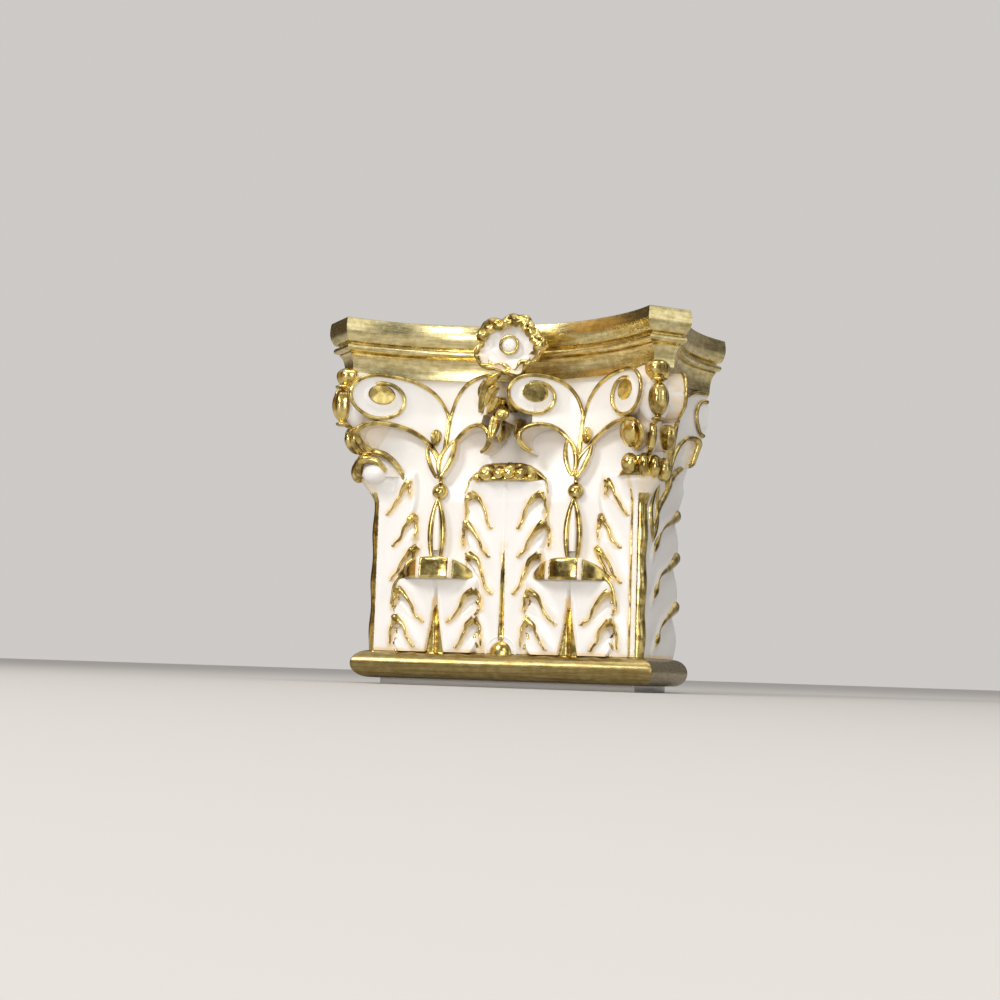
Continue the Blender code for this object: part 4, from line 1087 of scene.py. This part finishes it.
def spread(tree, value, low, high, least=0.0, most=1.0):
    """A value carried from low and high to least and most, and held there."""
    return node(tree, "ShaderNodeMapRange", Value=value, From_Min=low, From_Max=high,
                To_Min=least, To_Max=most).outputs[0]


def mix(tree, share, low, high):
    """Colour that goes from low to high with the share; each is a colour or a socket."""
    low, high = ((*end, 1.0) if isinstance(end, tuple) else end for end in (low, high))
    return node(tree, "ShaderNodeMix", set_data_type="RGBA", i0=share, i6=low, i7=high).outputs[2]


def enamel_and_gold(name, brush, polish, shade_patch_depth, pale=(0.90, 0.72, 0.28)):
    """White gloss enamel where gild is 0 and gold leaf where it is 1, with a hand-painted edge.

    The edge wanders with a fine noise; the second attribute stains the enamel warm, partly as a real
    stain beside the gilding and partly as painted warm shade in creases and recesses.  brush stretches
    the gold's fine grain along x, polish is its least roughness, and the last argument how far its
    patches of painted dark shading darken the gold.
    """
    material = bpy.data.materials.new(name)
    material.use_nodes = True
    tree = material.node_tree
    shader = tree.nodes["Principled BSDF"]
    gild, stain_and_shade = (node(tree, "ShaderNodeAttribute", set_attribute_name=kind).outputs["Fac"]
                  for kind in ("gild", "stain_and_shade"))
    place = node(tree, "ShaderNodeTexCoord").outputs["Object"]
    stretched = node(tree, "ShaderNodeMapping", Vector=place, Scale=(1.0 / brush, 1.0, brush)).outputs[0]
    grain = noise(tree, stretched, 520.0, 4.0)
    blotches = noise(tree, place, 210.0, 2.0)
    wander = spread(tree, noise(tree, place, 700.0, 3.0), 0.3, 0.7, -0.25, 0.25)
    gold_amount = spread(tree, maths(tree, "ADD", gild, wander), 0.44, 0.56)
    # Warm colour on the enamel: partly a real stain beside the gilding, partly painted warm shade in
    # creases, recesses and under parts.
    stain_and_shade_share = spread(tree, maths(tree, "MULTIPLY", stain_and_shade, blotches), 0.10, 0.52, 0.0, 0.80)
    white = mix(tree, noise(tree, place, 60.0, 3.0), (0.93, 0.905, 0.88), (0.96, 0.945, 0.925))
    enamel_stain_and_shade = mix(tree, stain_and_shade_share, white, (0.90, 0.66, 0.30))
    deep = tuple(0.74 * part * tint for part, tint in zip(pale, (1.0, 0.96, 0.8)))
    gold = mix(tree, spread(tree, blotches, 0.35, 0.65), deep, pale)
    # Random dark patches on the gold are painted dark shading.
    shade_patches = spread(tree, noise(tree, stretched, 120.0, 3.0), 0.47, 0.60, 0.0, shade_patch_depth)
    gold = mix(tree, shade_patches, gold, (0.22, 0.145, 0.035))
    gold_rough = spread(tree, grain, 0.25, 0.75, polish, polish + 0.2)
    rough = node(tree, "ShaderNodeMix", set_data_type="FLOAT", i0=gold_amount, i2=0.28, i3=gold_rough)
    bump = node(tree, "ShaderNodeBump", Height=grain, Strength=0.10, Distance=0.0003)
    for socket, value in (("Base Color", mix(tree, gold_amount, enamel_stain_and_shade, gold)), ("Metallic", gold_amount),
                          ("Roughness", rough.outputs[0]), ("Normal", bump.outputs["Normal"])):
        tree.links.new(value, shader.inputs[socket])
    shader.inputs["Coat Weight"].default_value = 0.15
    shader.inputs["Coat Roughness"].default_value = 0.1
    return material


# Studio


def plain_floor():
    """A wide pale matt floor and its material."""
    material = bpy.data.materials.new("pale_floor")
    material.use_nodes = True
    shader = material.node_tree.nodes["Principled BSDF"]
    shader.inputs["Base Color"].default_value = (0.54, 0.525, 0.505, 1.0)
    shader.inputs["Roughness"].default_value = 1.0
    shader.inputs["Specular IOR Level"].default_value = 0.1
    mesh = bpy.data.meshes.new("floor")
    reach = 14.0
    corners = [(-reach, -reach, 0), (reach, -reach, 0), (reach, reach, 0), (-reach, reach, 0)]
    mesh.from_pydata(corners, [], [(0, 1, 2, 3)])
    mesh.materials.append(material)
    linked("floor", mesh)


def aim(thing, right, up, back, position):
    """Turns a light or the camera: its matrix has its right, up, back and position as columns."""
    matrix = np.eye(4)
    matrix[:3] = np.column_stack([right, up, back, position])
    thing.matrix_world = Matrix(matrix.tolist())


def soft_light(name, position, size, power, colour):
    """An area light at a position, turned towards the middle of the capital."""
    data = bpy.data.lights.new(name, "AREA")
    data.shape = "RECTANGLE"
    data.size, data.size_y = size
    data.energy = power
    data.color = colour
    back = unit(np.array(position) - np.array([0.0, 0.0, 0.12]))
    right = unit(np.cross((0.0, 0.0, 1.0), back))
    aim(linked(name, data), right, np.cross(back, right), back, position)


# Walls of the studio round the capital, which the gold mirrors, as (angle from the front to the right
# in turns, brightness, share of blue)
WALLS = [
    (-0.50, 0.12, 0.9), (-0.36, 0.04, 0.7), (-0.27, 0.08, 0.4), (-0.22, 0.34, 0.22), (-0.16, 0.42, 0.20),
    (-0.12, 0.04, 0.8), (-0.07, 0.22, 0.95), (-0.02, 0.16, 0.95), (0.03, 0.06, 1.0), (0.06, 0.60, 1.0),
    (0.10, 0.50, 1.0), (0.13, 0.08, 1.0), (0.17, 0.30, 1.0), (0.19, 1.00, 1.0), (0.215, 0.9, 1.0),
    (0.24, 0.12, 1.0), (0.36, 0.10, 0.9), (0.42, 0.20, 0.8), (0.50, 0.16, 0.9)]


def studio():
    """Lights, surroundings and the tone of the picture: what the camera sees behind the floor is plain."""
    world = bpy.data.worlds.new("studio")
    world.use_nodes = True
    tree = world.node_tree
    back = tree.nodes["Background"]
    view = node(tree, "ShaderNodeTexCoord").outputs["Generated"]
    direction = node(tree, "ShaderNodeSeparateXYZ", Vector=view)
    forward = maths(tree, "MULTIPLY", direction.outputs["Y"], -1.0)
    turn = maths(tree, "ARCTAN2", direction.outputs["X"], forward)
    walls = node(tree, "ShaderNodeValToRGB", Fac=spread(tree, turn, -math.pi, math.pi))
    stops = walls.color_ramp.elements
    for index, (angle, value, blue) in enumerate(WALLS):
        stop = stops[index] if index < 2 else stops.new(angle + 0.5)
        stop.position = angle + 0.5
        stop.color = (value, value * (0.5 + 0.5 * blue), value * blue, 1.0)
    rise = spread(tree, direction.outputs["Z"], 0.45, 0.75)
    room = mix(tree, rise, walls.outputs["Color"], (0.62, 0.61, 0.60))
    seen = node(tree, "ShaderNodeLightPath").outputs["Is Camera Ray"]
    tree.links.new(mix(tree, seen, room, (0.45, 0.435, 0.42)), back.inputs["Color"])
    back.inputs["Strength"].default_value = 1.35
    bpy.context.scene.world = world
    bpy.context.scene.view_settings.view_transform = "Standard"
    soft_light("key", (-0.75, -1.3, 1.15), (0.55, 0.45), 11.0, (1.0, 0.985, 0.96))
    soft_light("front_fill", (0.55, -1.6, 0.95), (0.5, 0.4), 5.0, (1.0, 0.99, 0.98))
    soft_light("top", (0.1, -0.3, 1.6), (0.9, 0.5), 5.0, (1.0, 0.98, 0.95))
    soft_light("low_fill", (0.25, -1.7, 0.24), (0.6, 0.3), 4.5, (1.0, 0.99, 0.98))


def camera():
    """The camera at the photographed angle: 19.1 degrees to the right, low, with a slight roll."""
    turn, rise, roll = (math.radians(angle) for angle in (19.144, -5.6565, 1.854))
    distance = 1103.72
    look = np.array([-0.957, 0.0, 117.788])
    back = np.array([math.sin(turn) * math.cos(rise), -math.cos(turn) * math.cos(rise), math.sin(rise)])
    right = np.array([math.cos(turn), math.sin(turn), 0.0])
    up = np.cross(back, right)
    data = bpy.data.cameras.new("camera")
    data.lens = 63.0
    data.sensor_width = 36.0
    data.clip_start = 0.01
    data.clip_end = 50.0
    thing = linked("camera", data)
    aim(thing, math.cos(roll) * right + math.sin(roll) * up, math.cos(roll) * up - math.sin(roll) * right,
        back, (look + distance * back - ORIGIN) * MM)
    bpy.context.scene.camera = thing


def build():
    """Every piece of the capital, the floor, the lights and the camera."""
    painted = enamel_and_gold("enamel_and_gold_leaf", 1.0, 0.10, 0.85)
    brushed = enamel_and_gold("brushed_gold", 5.0, 0.13, 0.30, (0.97, 0.84, 0.46))
    # The astragal's gold is a darker copy of the brushed gold: its dark base colour is painted dark
    # reflection on the roll.
    darkened_gold = enamel_and_gold("brushed_gold_painted_dark", 6.0, 0.20, 0.6, (0.42, 0.33, 0.145))
    piece("lower_bell", lower_bell(), painted)
    piece("upper_bell", upper_bell(), painted)
    piece("leaf_edges", leaf_edges(), painted)
    piece("leaf_tips", leaf_tips(), painted)
    plates, rims = all_fans()
    piece("scroll_fans", plates, painted)
    piece("scroll_rims", rims, painted)
    piece("abacus", abacus(), brushed, 30.0)
    piece("astragal", astragal(), darkened_gold, 30.0)
    piece("neck_fillet", neck(), painted)
    piece("corner_webs", corner_webs(), painted)
    piece("corner_chains", corner_chains(), painted)
    piece("stalks_and_buds", stalk_buds(), painted)
    piece("pendant", pendant(), painted)
    piece("rosette", rosette(), painted)
    plain_floor()
    studio()
    camera()


build()
